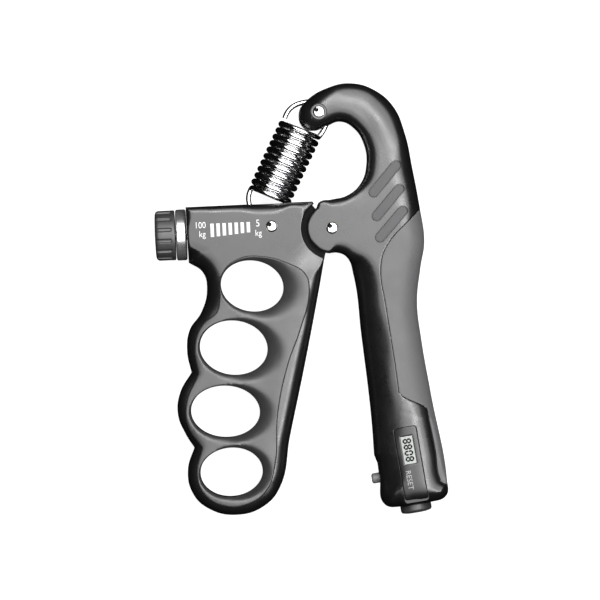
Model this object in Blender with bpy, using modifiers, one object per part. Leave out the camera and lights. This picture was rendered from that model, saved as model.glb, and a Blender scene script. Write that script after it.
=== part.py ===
"""Adjustable finger exerciser: two handles on a pivot, held apart by an extension spring.

The object lies on its back. +X points towards the palm handle, +Y towards the hook and +Z up, out of
the front face. All sizes are metres. The two handles are alike on their front and rear faces, and each
is a pair of casings that meet at the middle plane.
"""

from math import atan2, cos, pi, radians, sin, tau

import bmesh
import bpy
from mathutils import Matrix, Vector

MM = 0.001

# Driving dimensions
THICKNESS = 24.0 * MM
MIDDLE = THICKNESS / 2
GAP = 0.15 * MM
PIVOT = Vector((12.1, 27.85)) * MM
FACE_EDGE = 2.2 * MM

# Joint at the pivot
LUG_RADIUS = 9.9 * MM
LUG_GAP_RADIUS = 11.9 * MM
TONGUE_RADIUS = 9.0 * MM
TONGUE_THICKNESS = 12.0 * MM
TONGUE_SLOT = 14.0 * MM
PIVOT_PIN_RADIUS = 2.2 * MM
BUSH_RADIUS = 3.6 * MM

# Barrel, measured in its own frame: u runs along the screw to the pivot, v up across it
BARREL_TILT = radians(2.6)
BARREL_TOP = 10.6 * MM
BARREL_END = -56.6 * MM
TROUGH_WIDTH = 18.4 * MM
STOP_PIN = (-23.5 * MM, 1.65 * MM)
STOP_PIN_RADIUS = 2.1 * MM
ANCHOR_PIN = (-26.9 * MM, 8.4 * MM)
ANCHOR_PIN_RADIUS = 1.5 * MM
SCREW_RADIUS = 2.0 * MM
COLLAR_RADIUS = 10.0 * MM
COLLAR_LENGTH = 4.2 * MM
KNOB_RADIUS = 9.75 * MM
KNOB_LENGTH = 7.9 * MM
KNOB_FLUTES = 14

# Hook and spring
HOOK_PIN = Vector((6.9, 73.0)) * MM
HOOK_PIN_RADIUS = 1.9 * MM
HOOK_SLOT = 3.4 * MM
SPRING_TILT = radians(25.1)
SPRING_TOP = Vector((-0.16, 66.5)) * MM
COIL_RADIUS = 7.65 * MM
WIRE_RADIUS = 0.95 * MM
COIL_TURNS = 10.5
COIL_PITCH = 2.76 * MM
TOP_LOOP = Vector((1.2, 68.8)) * MM
TOP_LOOP_RADIUS = 7.8 * MM
TOP_LOOP_BULGE = 2.3 * MM
BOTTOM_LOOP_RADIUS = 7.4 * MM

# Counter in the palm handle, measured in its own frame: s runs down the handle, t across it to the right
HANDLE_TILT = radians(9.8)
COUNTER = Vector((42.7, -64.1)) * MM
PLATE_SIZE = (9.1 * MM, 29.5 * MM)
WINDOW_SIZE = (4.7 * MM, 10.9 * MM)
WINDOW_S = -5.7 * MM
PLUNGER_S = 3.15 * MM
PLUNGER_TIP = -15.9 * MM
PLUNGER_RADIUS = 2.0 * MM
RESET_T = -0.75 * MM
RESET_TIP = 19.1 * MM
RESET_RADIUS = 6.05 * MM

# Finger holes: centre, half width, half height, tilt in degrees
FINGER_HOLES = (
    ((-19.1, 5.3), 12.3, 9.9, -10.0),
    ((-26.3, -18.8), 13.3, 10.6, -6.0),
    ((-29.5, -43.6), 13.5, 10.1, -1.5),
    ((-27.1, -67.2), 12.2, 9.6, 6.0),
)

# Outlines in millimetres, clockwise. A third value marks a sharp corner.
FINGER_GRIP = (
    (-43.7, 14.3, "corner"), (-38.2, 10.5), (-36.6, 4.0), (-38.8, -4.9), (-43.4, -12.0), (-44.3, -20.4),
    (-42.6, -28.4, "corner"), (-47.0, -36.1), (-47.9, -44.6), (-45.0, -52.1), (-41.5, -57.6, "corner"),
    (-44.0, -66.0), (-42.2, -75.2), (-36.0, -81.3), (-24.6, -83.75), (-14.0, -80.1), (-8.1, -72.9),
    (-4.3, -53.4), (1.2, -26.8), (7.2, 5.0), (9.1, 17.0, "corner"), (12.5, 22.0, "corner"),
)
FINGER_PAD = (
    (-31.7, 0.5), (-30.6, 10.2), (-24.0, 15.9), (-15.0, 16.7), (-4.8, 14.0), (1.6, 10.1), (3.3, 3.5),
    (-0.2, -11.6), (-4.9, -24.8), (-8.9, -43.5), (-10.1, -64.5), (-13.6, -74.6), (-20.6, -79.6),
    (-29.5, -80.4), (-37.4, -76.0), (-40.5, -68.5), (-38.4, -57.6, "corner"), (-44.0, -49.2),
    (-44.6, -40.6), (-39.9, -29.0, "corner"), (-41.3, -17.7), (-38.3, -9.8), (-32.6, -4.6),
)
PALM_OUTER = (
    (1.0, 66.9), (-0.9, 72.6), (1.9, 77.2), (11.0, 82.6), (19.5, 84.1), (28.5, 81.5), (35.9, 75.1),
    (40.4, 64.6), (43.4, 50.7), (46.1, 36.5), (48.0, 22.6), (46.5, 12.4), (45.2, -1.0), (46.8, -15.1),
    (50.7, -37.1), (56.8, -70.0), (56.6, -76.2), (49.4, -79.1, "corner"), (40.0, -80.7, "corner"),
    (32.6, -79.8), (30.7, -70.0), (29.8, -63.8, "corner"), (28.5, -60.7, "corner"), (27.4, -46.1),
    (23.5, -13.8), (20.4, 9.8), (18.0, 16.4), (14.6, 18.2),
)
HOOK_INNER = (
    (7.0, 37.8), (12.0, 38.9), (18.0, 40.5), (23.2, 45.2), (25.5, 52.6), (24.5, 60.7), (20.6, 66.9),
    (15.2, 69.5), (9.6, 67.5), (5.2, 65.9),
)
PALM_PAD = (
    (46.0, 34.7, "corner"), (32.6, 19.4), (31.0, 11.3), (32.9, -2.1), (36.5, -24.8),
    (38.1, -36.4, "corner"), (48.1, -41.3), (50.7, -53.9), (54.2, -70.0), (57.0, -72.0, "corner"),
    (62.0, -72.0, "corner"), (62.0, 34.7, "corner"),
)
PALM_CORE = (
    (36.0, 37.0, "corner"), (43.4, 31.0, "corner"), (45.6, 22.0), (44.1, 12.0), (42.9, -1.0), (44.5, -15.4),
    (47.8, -34.2, "corner"), (28.0, -34.2, "corner"), (26.0, 10.0, "corner"),
)
INLAYS = (((36.8, 52.1), (28.2, 41.6)), ((38.1, 42.9), (29.4, 32.4)), ((39.4, 34.4), (30.7, 24.1)))
INLAY_WIDTH = 3.8 * MM
FINGER_SCREWS = ((-36.4, 16.4), (-1.0, -0.5), (-7.2, -25.5), (-13.4, -56.0))
PALM_SCREWS = ((23.8, 75.6), (30.2, 60.4), (25.0, 12.0), (30.2, -23.6), (33.6, -45.2))


# Scene


def new_collection(name):
    collection = bpy.data.collections.new(name)
    bpy.context.scene.collection.children.link(collection)
    return collection


for old in list(bpy.data.objects):
    bpy.data.objects.remove(old, do_unlink=True)
PARTS = new_collection("finger_exerciser")
CUTTERS = new_collection("cutters")
PARENT = {}


def plain_material(name, colour, roughness, metallic=0.0):
    material = bpy.data.materials.new(name)
    material.use_nodes = True
    shader = material.node_tree.nodes["Principled BSDF"]
    shader.inputs["Base Color"].default_value = (*colour, 1.0)
    shader.inputs["Roughness"].default_value = roughness
    shader.inputs["Metallic"].default_value = metallic
    return material


CASING = plain_material("casing_plastic", (0.23, 0.23, 0.24), 0.42)
SOFT = plain_material("soft_rubber", (0.30, 0.30, 0.31), 0.75)
KNOB = plain_material("knob_plastic", (0.13, 0.13, 0.14), 0.45)
CHROME = plain_material("chrome", (0.85, 0.85, 0.86), 0.12, 1.0)
STEEL = plain_material("steel", (0.62, 0.62, 0.63), 0.32, 1.0)
BRASS = plain_material("brass", (0.72, 0.55, 0.25), 0.35, 1.0)
GLASS = plain_material("display", (0.62, 0.64, 0.62), 0.15)
BOARD = plain_material("board", (0.05, 0.22, 0.09), 0.5)
BLACK = plain_material("black_plastic", (0.03, 0.03, 0.03), 0.4)


def joint_empty(name, location, parent=None):
    """An empty on a joint's axis. The pieces that move with the joint are its children."""
    empty = bpy.data.objects.new(name, None)
    empty.empty_display_size = 5 * MM
    PARTS.objects.link(empty)
    empty.matrix_world = Matrix.Translation(location)
    if parent:
        empty.parent = parent
        empty.matrix_parent_inverse = Matrix.Translation(-parent_place(parent))
    PARENT[name] = Vector(location)
    return empty


def parent_place(empty):
    return PARENT[empty.name]


def place(piece, name, material, parent=None, smooth=True):
    """Name a finished solid, give it its material, and hang it from its joint."""
    piece.name = name
    piece.data.name = name
    piece.data.materials.clear()
    piece.data.materials.append(material)
    piece.data.polygons.foreach_set("use_smooth", [smooth] * len(piece.data.polygons))
    if smooth:
        piece.data.set_sharp_from_angle(angle=radians(35))
    if parent:
        piece.parent = parent
        piece.matrix_parent_inverse = Matrix.Translation(-parent_place(parent))
    return piece


def solid(mesh_maker, collection=CUTTERS):
    """A new object whose mesh is built by mesh_maker(bm)."""
    mesh = bpy.data.meshes.new("solid")
    bm = bmesh.new()
    mesh_maker(bm)
    bmesh.ops.recalc_face_normals(bm, faces=bm.faces)
    bm.to_mesh(mesh)
    bm.free()
    piece = bpy.data.objects.new("solid", mesh)
    collection.objects.link(piece)
    if collection is CUTTERS:
        piece.hide_render = True
        piece.display_type = "WIRE"
    return piece


# Frames


def barrel_point(u, v):
    """World XY of a point in the barrel's frame."""
    along = Vector((cos(BARREL_TILT), sin(BARREL_TILT)))
    across = Vector((-sin(BARREL_TILT), cos(BARREL_TILT)))
    return PIVOT + along * u + across * v


def barrel_matrix(u, v=0.0, z=MIDDLE):
    """Local Z along the barrel, local X up across it."""
    spot = barrel_point(u, v)
    along = Vector((cos(BARREL_TILT), sin(BARREL_TILT), 0))
    across = Vector((-sin(BARREL_TILT), cos(BARREL_TILT), 0))
    return frame_matrix(across, along.cross(across), along, (spot.x, spot.y, z))


def handle_point(s, t):
    """World XY of a point in the counter's frame."""
    down = Vector((sin(HANDLE_TILT), -cos(HANDLE_TILT)))
    right = Vector((cos(HANDLE_TILT), sin(HANDLE_TILT)))
    return COUNTER + down * s + right * t


def handle_matrix(s, t, z=MIDDLE):
    """Local X to the right across the handle, local Y up along it."""
    spot = handle_point(s, t)
    down = Vector((sin(HANDLE_TILT), -cos(HANDLE_TILT), 0))
    right = Vector((cos(HANDLE_TILT), sin(HANDLE_TILT), 0))
    return frame_matrix(right, -down, Vector((0, 0, 1)), (spot.x, spot.y, z))


def frame_matrix(x_axis, y_axis, z_axis, origin):
    matrix = Matrix((x_axis, y_axis, z_axis)).transposed().to_4x4()
    matrix.translation = origin
    return matrix


def turned_towards(direction, origin):
    """Local Z along a direction that lies in the XY plane."""
    z_axis = Vector((direction[0], direction[1], 0)).normalized()
    y_axis = Vector((0, 0, 1))
    return frame_matrix(y_axis.cross(z_axis), y_axis, z_axis, origin)


# Shapes


def cylinder(radius, low, high, matrix=None, sides=32, collection=CUTTERS, top_radius=None):
    """A cylinder or cone along local Z from low to high."""
    matrix = matrix or Matrix.Identity(4)

    def build(bm):
        bmesh.ops.create_cone(
            bm,
            cap_ends=True,
            segments=sides,
            radius1=radius,
            radius2=radius if top_radius is None else top_radius,
            depth=high - low,
            matrix=matrix @ Matrix.Translation((0, 0, (low + high) / 2)),
        )

    return solid(build, collection)


def upright(radius, low, high, centre, sides=32, collection=CUTTERS):
    """A cylinder along world Z."""
    return cylinder(radius, low, high, Matrix.Translation((centre[0], centre[1], 0)), sides, collection)


def box(size, matrix, collection=CUTTERS):
    def build(bm):
        bmesh.ops.create_cube(bm, size=1.0, matrix=matrix @ Matrix.Diagonal((*size, 1.0)))

    return solid(build, collection)


def turned(profile, matrix, steps=32, collection=CUTTERS):
    """A closed profile of (radius, height) pairs turned about local Z, its axis left solid."""
    mesh = bpy.data.meshes.new("turned")
    corners = [(radius, 0, height) for radius, height in profile]
    edges = [(i, i + 1) for i in range(len(profile) - 1)]
    mesh.from_pydata(corners, edges, [])
    piece = bpy.data.objects.new("turned", mesh)
    CUTTERS.objects.link(piece)
    screw = piece.modifiers.new("turn", "SCREW")
    screw.steps = steps
    screw.render_steps = steps
    screw.use_merge_vertices = True
    screw.merge_threshold = 1e-6
    piece.matrix_world = matrix
    return as_mesh(piece, collection)


def as_mesh(source, collection=CUTTERS):
    """Replace a curve or a modified object by its evaluated mesh, in world space, caps welded."""
    bpy.context.view_layer.update()
    evaluated = source.evaluated_get(bpy.context.evaluated_depsgraph_get())
    mesh = bpy.data.meshes.new_from_object(evaluated)
    mesh.transform(source.matrix_world)
    bpy.data.objects.remove(source, do_unlink=True)
    bm = bmesh.new()
    bm.from_mesh(mesh)
    bmesh.ops.remove_doubles(bm, verts=bm.verts, dist=1e-7)
    bmesh.ops.dissolve_limit(bm, angle_limit=radians(0.1), verts=bm.verts, edges=bm.edges)
    bmesh.ops.recalc_face_normals(bm, faces=bm.faces)
    bm.to_mesh(mesh)
    bm.free()
    piece = bpy.data.objects.new("solid", mesh)
    collection.objects.link(piece)
    if collection is CUTTERS:
        piece.hide_render = True
        piece.display_type = "WIRE"
    return piece


def outline_solid(points, low, high, edge=0.0, grow=0.0, resolution=3, collection=CUTTERS):
    """A smooth outline in millimetres made a plate from low to high, with rounded rims of radius edge."""
    curve = bpy.data.curves.new("outline", "CURVE")
    curve.dimensions = "2D"
    curve.fill_mode = "BOTH"
    curve.resolution_u = resolution
    curve.extrude = (high - low) / 2 - edge
    curve.bevel_depth = edge
    curve.bevel_resolution = 0
    curve.offset = grow - edge
    spline = curve.splines.new("BEZIER")
    spline.bezier_points.add(len(points) - 1)
    spline.use_cyclic_u = True
    for knot, point in zip(spline.bezier_points, points):
        knot.co = (point[0] * MM, point[1] * MM, 0)
        kind = "VECTOR" if len(point) == 3 else "AUTO"
        knot.handle_left_type = kind
        knot.handle_right_type = kind
    source = bpy.data.objects.new("outline", curve)
    CUTTERS.objects.link(source)
    source.location = (0, 0, (low + high) / 2)
    return as_mesh(source, collection)


def stadium(start, end, radius, steps=8):
    """The corners of a slot with round ends, in millimetres, clockwise."""
    start = Vector(start)
    end = Vector(end)
    heading = atan2(end.y - start.y, end.x - start.x)
    points = []
    for centre, turn in ((end, heading + pi / 2), (start, heading - pi / 2)):
        for i in range(steps + 1):
            angle = turn - pi * i / steps
            points.append((centre.x + radius * cos(angle), centre.y + radius * sin(angle), "corner"))
    return points


def arc(centre, radius, first, last, steps):
    """Points in millimetres along an arc, from the angle first to last in degrees."""
    angles = [radians(first + (last - first) * i / steps) for i in range(steps + 1)]
    return [(centre[0] / MM + radius / MM * cos(a), centre[1] / MM + radius / MM * sin(a)) for a in angles]


def rounded_plate(width, length, corner, low, high, matrix, collection=CUTTERS):
    """A rectangle with round corners, centred on the matrix, its faces at heights low and high."""
    points = []
    for i, (side, end) in enumerate(((1, 1), (1, -1), (-1, -1), (-1, 1))):
        centre = (side * (width / 2 - corner), end * (length / 2 - corner))
        points += [(x, y, "corner") for x, y in arc(centre, corner, 90 - 90 * i, -90 * i, 4)]
    plate = outline_solid(points, low, high, resolution=1, collection=collection)
    plate.data.transform(matrix)
    return plate


def wire(points, radius, collection, sides_resolution=2, matrix=None):
    """A round wire along a list of points."""
    curve = bpy.data.curves.new("wire", "CURVE")
    curve.dimensions = "3D"
    curve.bevel_depth = radius
    curve.bevel_resolution = sides_resolution
    curve.use_fill_caps = True
    spline = curve.splines.new("POLY")
    spline.points.add(len(points) - 1)
    for knot, point in zip(spline.points, points):
        knot.co = (*point, 1.0)
    source = bpy.data.objects.new("wire", curve)
    CUTTERS.objects.link(source)
    if matrix:
        source.matrix_world = matrix
    return as_mesh(source, collection)


def boolean(piece, operation, *others):
    for other in others:
        modifier = piece.modifiers.new(operation.lower(), "BOOLEAN")
        modifier.operation = operation
        modifier.object = other
        modifier.solver = "EXACT"
    return piece


def cut(piece, *cutters):
    return boolean(piece, "DIFFERENCE", *cutters)


def join(piece, *others):
    return boolean(piece, "UNION", *others)


def half_space(front):
    """A block that keeps the front or the rear half of a handle."""
    low = MIDDLE + GAP if front else -5 * MM
    high = THICKNESS + 5 * MM if front else MIDDLE - GAP
    return box((200 * MM, 240 * MM, high - low), Matrix.Translation((0, 0, (low + high) / 2)))


def copy_of(piece):
    twin = piece.copy()
    twin.data = piece.data.copy()
    CUTTERS.objects.link(twin)
    return twin


# Finger handle


def finger_hole_cutters():
    cutters = []
    for centre, half_width, half_height, tilt in FINGER_HOLES:
        matrix = (
            Matrix.Translation((centre[0] * MM, centre[1] * MM, MIDDLE))
            @ Matrix.Rotation(radians(tilt), 4, "Z")
            @ Matrix.Diagonal((half_width, half_height, 1, 1))
        )
        cutters.append(cylinder(MM, -20 * MM, 20 * MM, matrix, sides=28))
    return cutters


def case_screw_cutters(centres, rear):
    """Rear: a counterbore and a clearance hole. Front: a blind hole."""
    cutters = []
    for centre in centres:
        spot = Vector(centre) * MM
        if rear:
            cutters.append(upright(2.6 * MM, -MM, 5 * MM, spot, sides=20))
            cutters.append(upright(1.4 * MM, 4.5 * MM, 13 * MM, spot, sides=12))
        else:
            cutters.append(upright(1.4 * MM, 11 * MM, 17.4 * MM, spot, sides=12))
    return cutters


def case_screws(prefix, centres, parent=None):
    """Pan-head screws driven in from the rear."""
    for number, centre in enumerate(centres, 1):
        matrix = Matrix.Translation((centre[0] * MM, centre[1] * MM, 0))
        profile = [
            (0, 16.6 * MM), (0.5 * MM, 16.6 * MM), (1.2 * MM, 15.2 * MM), (1.2 * MM, 4.8 * MM),
            (2.3 * MM, 4.8 * MM), (2.3 * MM, 3.5 * MM), (1.7 * MM, 2.9 * MM), (0, 2.9 * MM),
        ]
        screw = turned(profile, matrix, steps=12, collection=PARTS)
        place(screw, f"{prefix}_{number}", STEEL, parent)


def barrel_outline(points):
    return [(*(barrel_point(u * MM, v * MM) / MM), "corner") for u, v in points]


def finger_body():
    """Both casings of the finger handle as one block, before they are parted."""
    end = BARREL_END / MM
    top = BARREL_TOP / MM
    outline = barrel_outline([(end, top), (-7.4, top), (-3.0, 4.0)])
    outline = [*FINGER_GRIP, *reversed(outline)]
    body = outline_solid(outline, 0, THICKNESS, edge=FACE_EDGE)
    cut(body, upright(LUG_GAP_RADIUS, -MM, THICKNESS + MM, PIVOT, sides=40))
    half = TONGUE_THICKNESS / 2
    join(body, upright(TONGUE_RADIUS, MIDDLE - half, MIDDLE + half, PIVOT, sides=32))
    neck_heading = radians(197)
    neck = Matrix.Translation((PIVOT.x, PIVOT.y, MIDDLE)) @ Matrix.Rotation(neck_heading, 4, "Z")
    join(body, box((14.5 * MM, 16.4 * MM, TONGUE_THICKNESS), neck @ Matrix.Translation((7.25 * MM, 0, 0))))
    trough = barrel_outline(
        [(-53, 14), (-11, 14), (-11.6, 10), (-15.5, 3.8), (-19.8, 3.8), (-19.8, -4.5), (-53, -4.5)]
    )
    half = TROUGH_WIDTH / 2
    cut(body, outline_solid(trough, MIDDLE - half, MIDDLE + half, resolution=1))
    cut(body, cylinder(SCREW_RADIUS + 0.35 * MM, -60 * MM, -50 * MM, barrel_matrix(0)))
    stop = barrel_point(*STOP_PIN)
    cut(body, upright(STOP_PIN_RADIUS + GAP, -MM, THICKNESS + MM, stop, sides=20))
    cut(body, upright(BUSH_RADIUS + GAP, -MM, THICKNESS + MM, PIVOT, sides=32))
    cut(body, *finger_hole_cutters())
    return body


def pad_plate(front, grow, low_skin):
    """The soft pad's outline as a plate in the front or the rear face."""
    low = THICKNESS - low_skin if front else -MM
    high = THICKNESS + MM if front else low_skin
    return outline_solid(FINGER_PAD, low, high, grow=grow)


def build_finger_handle():
    body = as_mesh(finger_body())
    for front in (True, False):
        side = "front" if front else "rear"
        casing = copy_of(body)
        boolean(casing, "INTERSECT", half_space(front))
        cut(casing, pad_plate(front, GAP, 1.9 * MM))
        cut(casing, *case_screw_cutters(FINGER_SCREWS, rear=not front))
        place(as_mesh(casing, PARTS), f"finger_casing_{side}", CASING)
        low = THICKNESS - 1.65 * MM if front else 0
        pad = outline_solid(FINGER_PAD, low, low + 1.65 * MM)
        cut(pad, *finger_hole_cutters())
        if not front:
            for centre in FINGER_SCREWS[1:]:
                cut(pad, upright(2.8 * MM, -MM, 3 * MM, Vector(centre) * MM, sides=20))
        place(as_mesh(pad, PARTS), f"finger_pad_{side}", SOFT)
    case_screws("finger_case_screw", FINGER_SCREWS)


def build_barrel_fittings():
    """Collar, cross pin and the block that carries the far end of the lead screw."""
    collar = cylinder(COLLAR_RADIUS, BARREL_END - COLLAR_LENGTH - 0.2 * MM, BARREL_END - 0.2 * MM,
                      barrel_matrix(0), sides=40)
    cut(collar, cylinder(SCREW_RADIUS + 0.35 * MM, -70 * MM, -50 * MM, barrel_matrix(0)))
    cut(collar, cylinder(5.3 * MM, -70 * MM, -60.0 * MM, barrel_matrix(0)))
    place(as_mesh(collar, PARTS), "barrel_end_collar", CHROME)
    washer = cylinder(5.0 * MM, -60.9 * MM, -60.2 * MM, barrel_matrix(0))
    cut(washer, cylinder(SCREW_RADIUS + 0.35 * MM, -70 * MM, -50 * MM, barrel_matrix(0)))
    place(as_mesh(washer, PARTS), "screw_thrust_washer", STEEL)
    build_dished_pin("barrel_cross_pin", STOP_PIN_RADIUS, barrel_point(*STOP_PIN), None)
    block = outline_solid(
        barrel_outline([(-27.9, -4.2), (-27.9, 3.5), (-20.1, 3.5), (-20.1, -4.2)]),
        MIDDLE - 7 * MM, MIDDLE + 7 * MM, resolution=1,
    )
    cut(block, upright(STOP_PIN_RADIUS + GAP, -MM, THICKNESS + MM, barrel_point(*STOP_PIN), sides=20))
    cut(block, cylinder(1.4 * MM, -29 * MM, -26.0 * MM, barrel_matrix(0), sides=20))
    place(as_mesh(block, PARTS), "screw_end_bearing", BRASS)


def build_dished_pin(name, radius, centre, parent, low=0.1 * MM, high=THICKNESS - 0.1 * MM):
    """A cross pin with shallow dished ends."""
    dish = 0.4 * MM
    profile = [
        (0, high - dish), (0.7 * radius, high - 0.3 * dish),
        (0.85 * radius, high), (radius, high - 0.2 * MM),
        (radius, low + 0.2 * MM), (0.85 * radius, low),
        (0.7 * radius, low + 0.3 * dish), (0, low + dish),
    ]
    pin = turned(profile, Matrix.Translation((centre.x, centre.y, 0)), steps=20, collection=PARTS)
    return place(pin, name, CHROME, parent)


# Adjuster and carriage


def build_adjuster(axis):
    outer = BARREL_END - COLLAR_LENGTH - 0.4 * MM - KNOB_LENGTH
    inner = outer + KNOB_LENGTH
    crown = 1.2 * MM
    profile = [
        (0, inner), (KNOB_RADIUS - 0.6 * MM, inner), (KNOB_RADIUS, inner - 0.5 * MM),
        (KNOB_RADIUS, outer + 1.6 * MM), (KNOB_RADIUS - 1.1 * MM, outer + 0.5 * MM), (0, outer),
    ]
    knob = turned(profile, barrel_matrix(0), steps=42)
    for i in range(KNOB_FLUTES):
        angle = tau * (i + 0.5) / KNOB_FLUTES
        spin = barrel_matrix(0) @ Matrix.Rotation(angle, 4, "Z")
        groove = spin @ Matrix.Translation((KNOB_RADIUS + 0.15 * MM, 0, 0))
        cut(knob, cylinder(0.85 * MM, outer - MM, inner - crown, groove, sides=8))
    cut(knob, cylinder(3.9 * MM, outer + 2.6 * MM, inner + MM, barrel_matrix(0), sides=6))
    place(as_mesh(knob, PARTS), "adjuster_knob", KNOB, axis)

    head = cylinder(3.6 * MM, outer + 2.9 * MM, inner - 0.3 * MM, barrel_matrix(0), sides=6)
    join(head, cylinder(SCREW_RADIUS, inner - 0.6 * MM, -28.3 * MM, barrel_matrix(0), sides=24))
    join(head, cylinder(1.2 * MM, -28.6 * MM, -26.2 * MM, barrel_matrix(0), sides=16))
    place(as_mesh(head, PARTS), "lead_screw", STEEL, axis)

    clip = cylinder(4.0 * MM, -52.8 * MM, -52.1 * MM, barrel_matrix(0), sides=24)
    cut(clip, cylinder(SCREW_RADIUS + GAP, -56 * MM, -50 * MM, barrel_matrix(0), sides=24))
    mouth = barrel_matrix(-52.5 * MM) @ Matrix.Translation((3.5 * MM, 0, 0))
    cut(clip, box((5 * MM, 2.4 * MM, 5 * MM), mouth))
    place(as_mesh(clip, PARTS), "screw_retaining_clip", STEEL, axis)


def build_carriage(axis):
    """The nut on the lead screw, with two cheeks that hold the spring's anchor pin."""
    block = outline_solid(
        barrel_outline([(-34.6, -4.2), (-34.6, 4.1), (-28.2, 4.1), (-28.2, -4.2)]),
        MIDDLE - 8 * MM, MIDDLE + 8 * MM, resolution=1,
    )
    pin = Vector(ANCHOR_PIN) / MM
    tip = [(pin.x + 2.2 * cos(radians(a)), pin.y + 2.2 * sin(radians(a))) for a in range(120, -91, -30)]
    cheek = barrel_outline([(-34.0, 3.0), (-34.0, 4.6), *tip, (-28.4, 4.6), (-28.4, 3.0)])
    for low, high in ((-5.4, -1.5), (1.5, 5.4)):
        join(block, outline_solid(cheek, MIDDLE + low * MM, MIDDLE + high * MM, resolution=1))
    cut(block, cylinder(SCREW_RADIUS + GAP, -40 * MM, -20 * MM, barrel_matrix(0), sides=24))
    cut(block, upright(ANCHOR_PIN_RADIUS + GAP, 0, THICKNESS, barrel_point(*ANCHOR_PIN), sides=20))
    place(as_mesh(block, PARTS), "tension_carriage", BRASS, axis)
    spot = barrel_point(*ANCHOR_PIN)
    reach = 5.6 * MM
    anchor = upright(ANCHOR_PIN_RADIUS, MIDDLE - reach, MIDDLE + reach, spot, sides=20, collection=PARTS)
    place(anchor, "spring_anchor_pin", STEEL, axis)


# Spring


def coil_point(turn):
    """A point on the coil, turn 0 at its top end on the right, the last on its left."""
    axis = Vector((-sin(SPRING_TILT), -cos(SPRING_TILT), 0))
    side = Vector((cos(SPRING_TILT), -sin(SPRING_TILT), 0))
    depth = Vector((0, 0, 1))
    angle = tau * turn
    centre = Vector((SPRING_TOP.x, SPRING_TOP.y, MIDDLE)) + axis * COIL_PITCH * turn
    return centre + side * COIL_RADIUS * cos(angle) + depth * COIL_RADIUS * sin(angle)


def coil(first, last, steps_per_turn=12):
    count = round((last - first) * steps_per_turn)
    return [coil_point(first + (last - first) * i / count) for i in range(count + 1)]


def top_loop_points(steps=20):
    """A loop round the hook pin. It bulges towards the pin, which stands off the coil's axis."""
    reach = HOOK_PIN - TOP_LOOP
    pin_angle = atan2(reach.y, reach.x)
    first = radians(-38)
    last = radians(166)
    points = []
    for i in range(steps + 1):
        angle = first + (last - first) * i / steps
        bulge = TOP_LOOP_BULGE * max(0.0, cos(angle - pin_angle)) ** 4
        spot = TOP_LOOP + Vector((cos(angle), sin(angle))) * (TOP_LOOP_RADIUS + bulge)
        points.append(Vector((spot.x, spot.y, MIDDLE)))
    return points


def bottom_loop_points(steps=18):
    """A round loop under the anchor pin, from the coil's left end round to its right side."""
    lean = Vector((sin(SPRING_TILT), cos(SPRING_TILT)))
    pin = barrel_point(*ANCHOR_PIN)
    centre = pin + lean * (BOTTOM_LOOP_RADIUS - WIRE_RADIUS - ANCHOR_PIN_RADIUS - GAP)
    first = pi - SPRING_TILT
    last = tau - SPRING_TILT - radians(4)
    points = []
    for i in range(steps + 1):
        angle = first + (last - first) * i / steps
        spot = centre + Vector((cos(angle), sin(angle))) * BOTTOM_LOOP_RADIUS
        points.append(Vector((spot.x, spot.y, MIDDLE)))
    return points


def build_spring(axis):
    middle_turn = COIL_TURNS / 2
    upper = coil(0.03, middle_turn - 0.006)
    lower = coil(middle_turn + 0.006, COIL_TURNS - 0.03)
    place(wire(upper, WIRE_RADIUS, PARTS), "spring_upper_coils", CHROME, axis)
    place(wire(lower, WIRE_RADIUS, PARTS), "spring_lower_coils", CHROME, axis)
    place(wire(top_loop_points(), WIRE_RADIUS, PARTS), "spring_top_loop", CHROME, axis)
    place(wire(bottom_loop_points(), WIRE_RADIUS, PARTS), "spring_bottom_loop", CHROME, axis)


# Palm handle


def palm_outline():
    lug = arc(PIVOT, LUG_RADIUS, 262, 128, 6)
    return [*PALM_OUTER, *lug, *HOOK_INNER]


def palm_body():
    body = outline_solid(palm_outline(), 0, THICKNESS, edge=FACE_EDGE)
    half = TONGUE_SLOT / 2
    cut(body, upright(TONGUE_RADIUS + 0.4 * MM, MIDDLE - half, MIDDLE + half, PIVOT, sides=32))
    mouth = [(PIVOT.x / MM, PIVOT.y / MM, "corner")]
    mouth += [(x, y, "corner") for x, y in arc(PIVOT, 14 * MM, 280, 125, 8)]
    cut(body, outline_solid(mouth, MIDDLE - half, MIDDLE + half, resolution=1))
    cut(body, box((20 * MM, 40 * MM, HOOK_SLOT), Matrix.Translation((3.2 * MM, 76 * MM, MIDDLE))))
    cut(body, upright(HOOK_PIN_RADIUS + GAP, -MM, THICKNESS + MM, HOOK_PIN, sides=20))
    cut(body, upright(PIVOT_PIN_RADIUS + GAP, -MM, THICKNESS + MM, PIVOT, sides=20))
    for low, high in ((-MM, 1.6 * MM), (THICKNESS - 1.6 * MM, THICKNESS + MM)):
        cut(body, upright(3.2 * MM, low, high, HOOK_PIN, sides=20))
    return body


def pad_region(grow, core_shrink):
    """The palm pad's space: everything beyond its rim line, less the casing's core that it wraps."""
    region = outline_solid(PALM_PAD, -2 * MM, THICKNESS + 2 * MM, grow=grow)
    low = 2.2 * MM + core_shrink
    core = outline_solid(PALM_CORE, low, THICKNESS - low, grow=-core_shrink)
    return as_mesh(cut(region, core))


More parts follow.
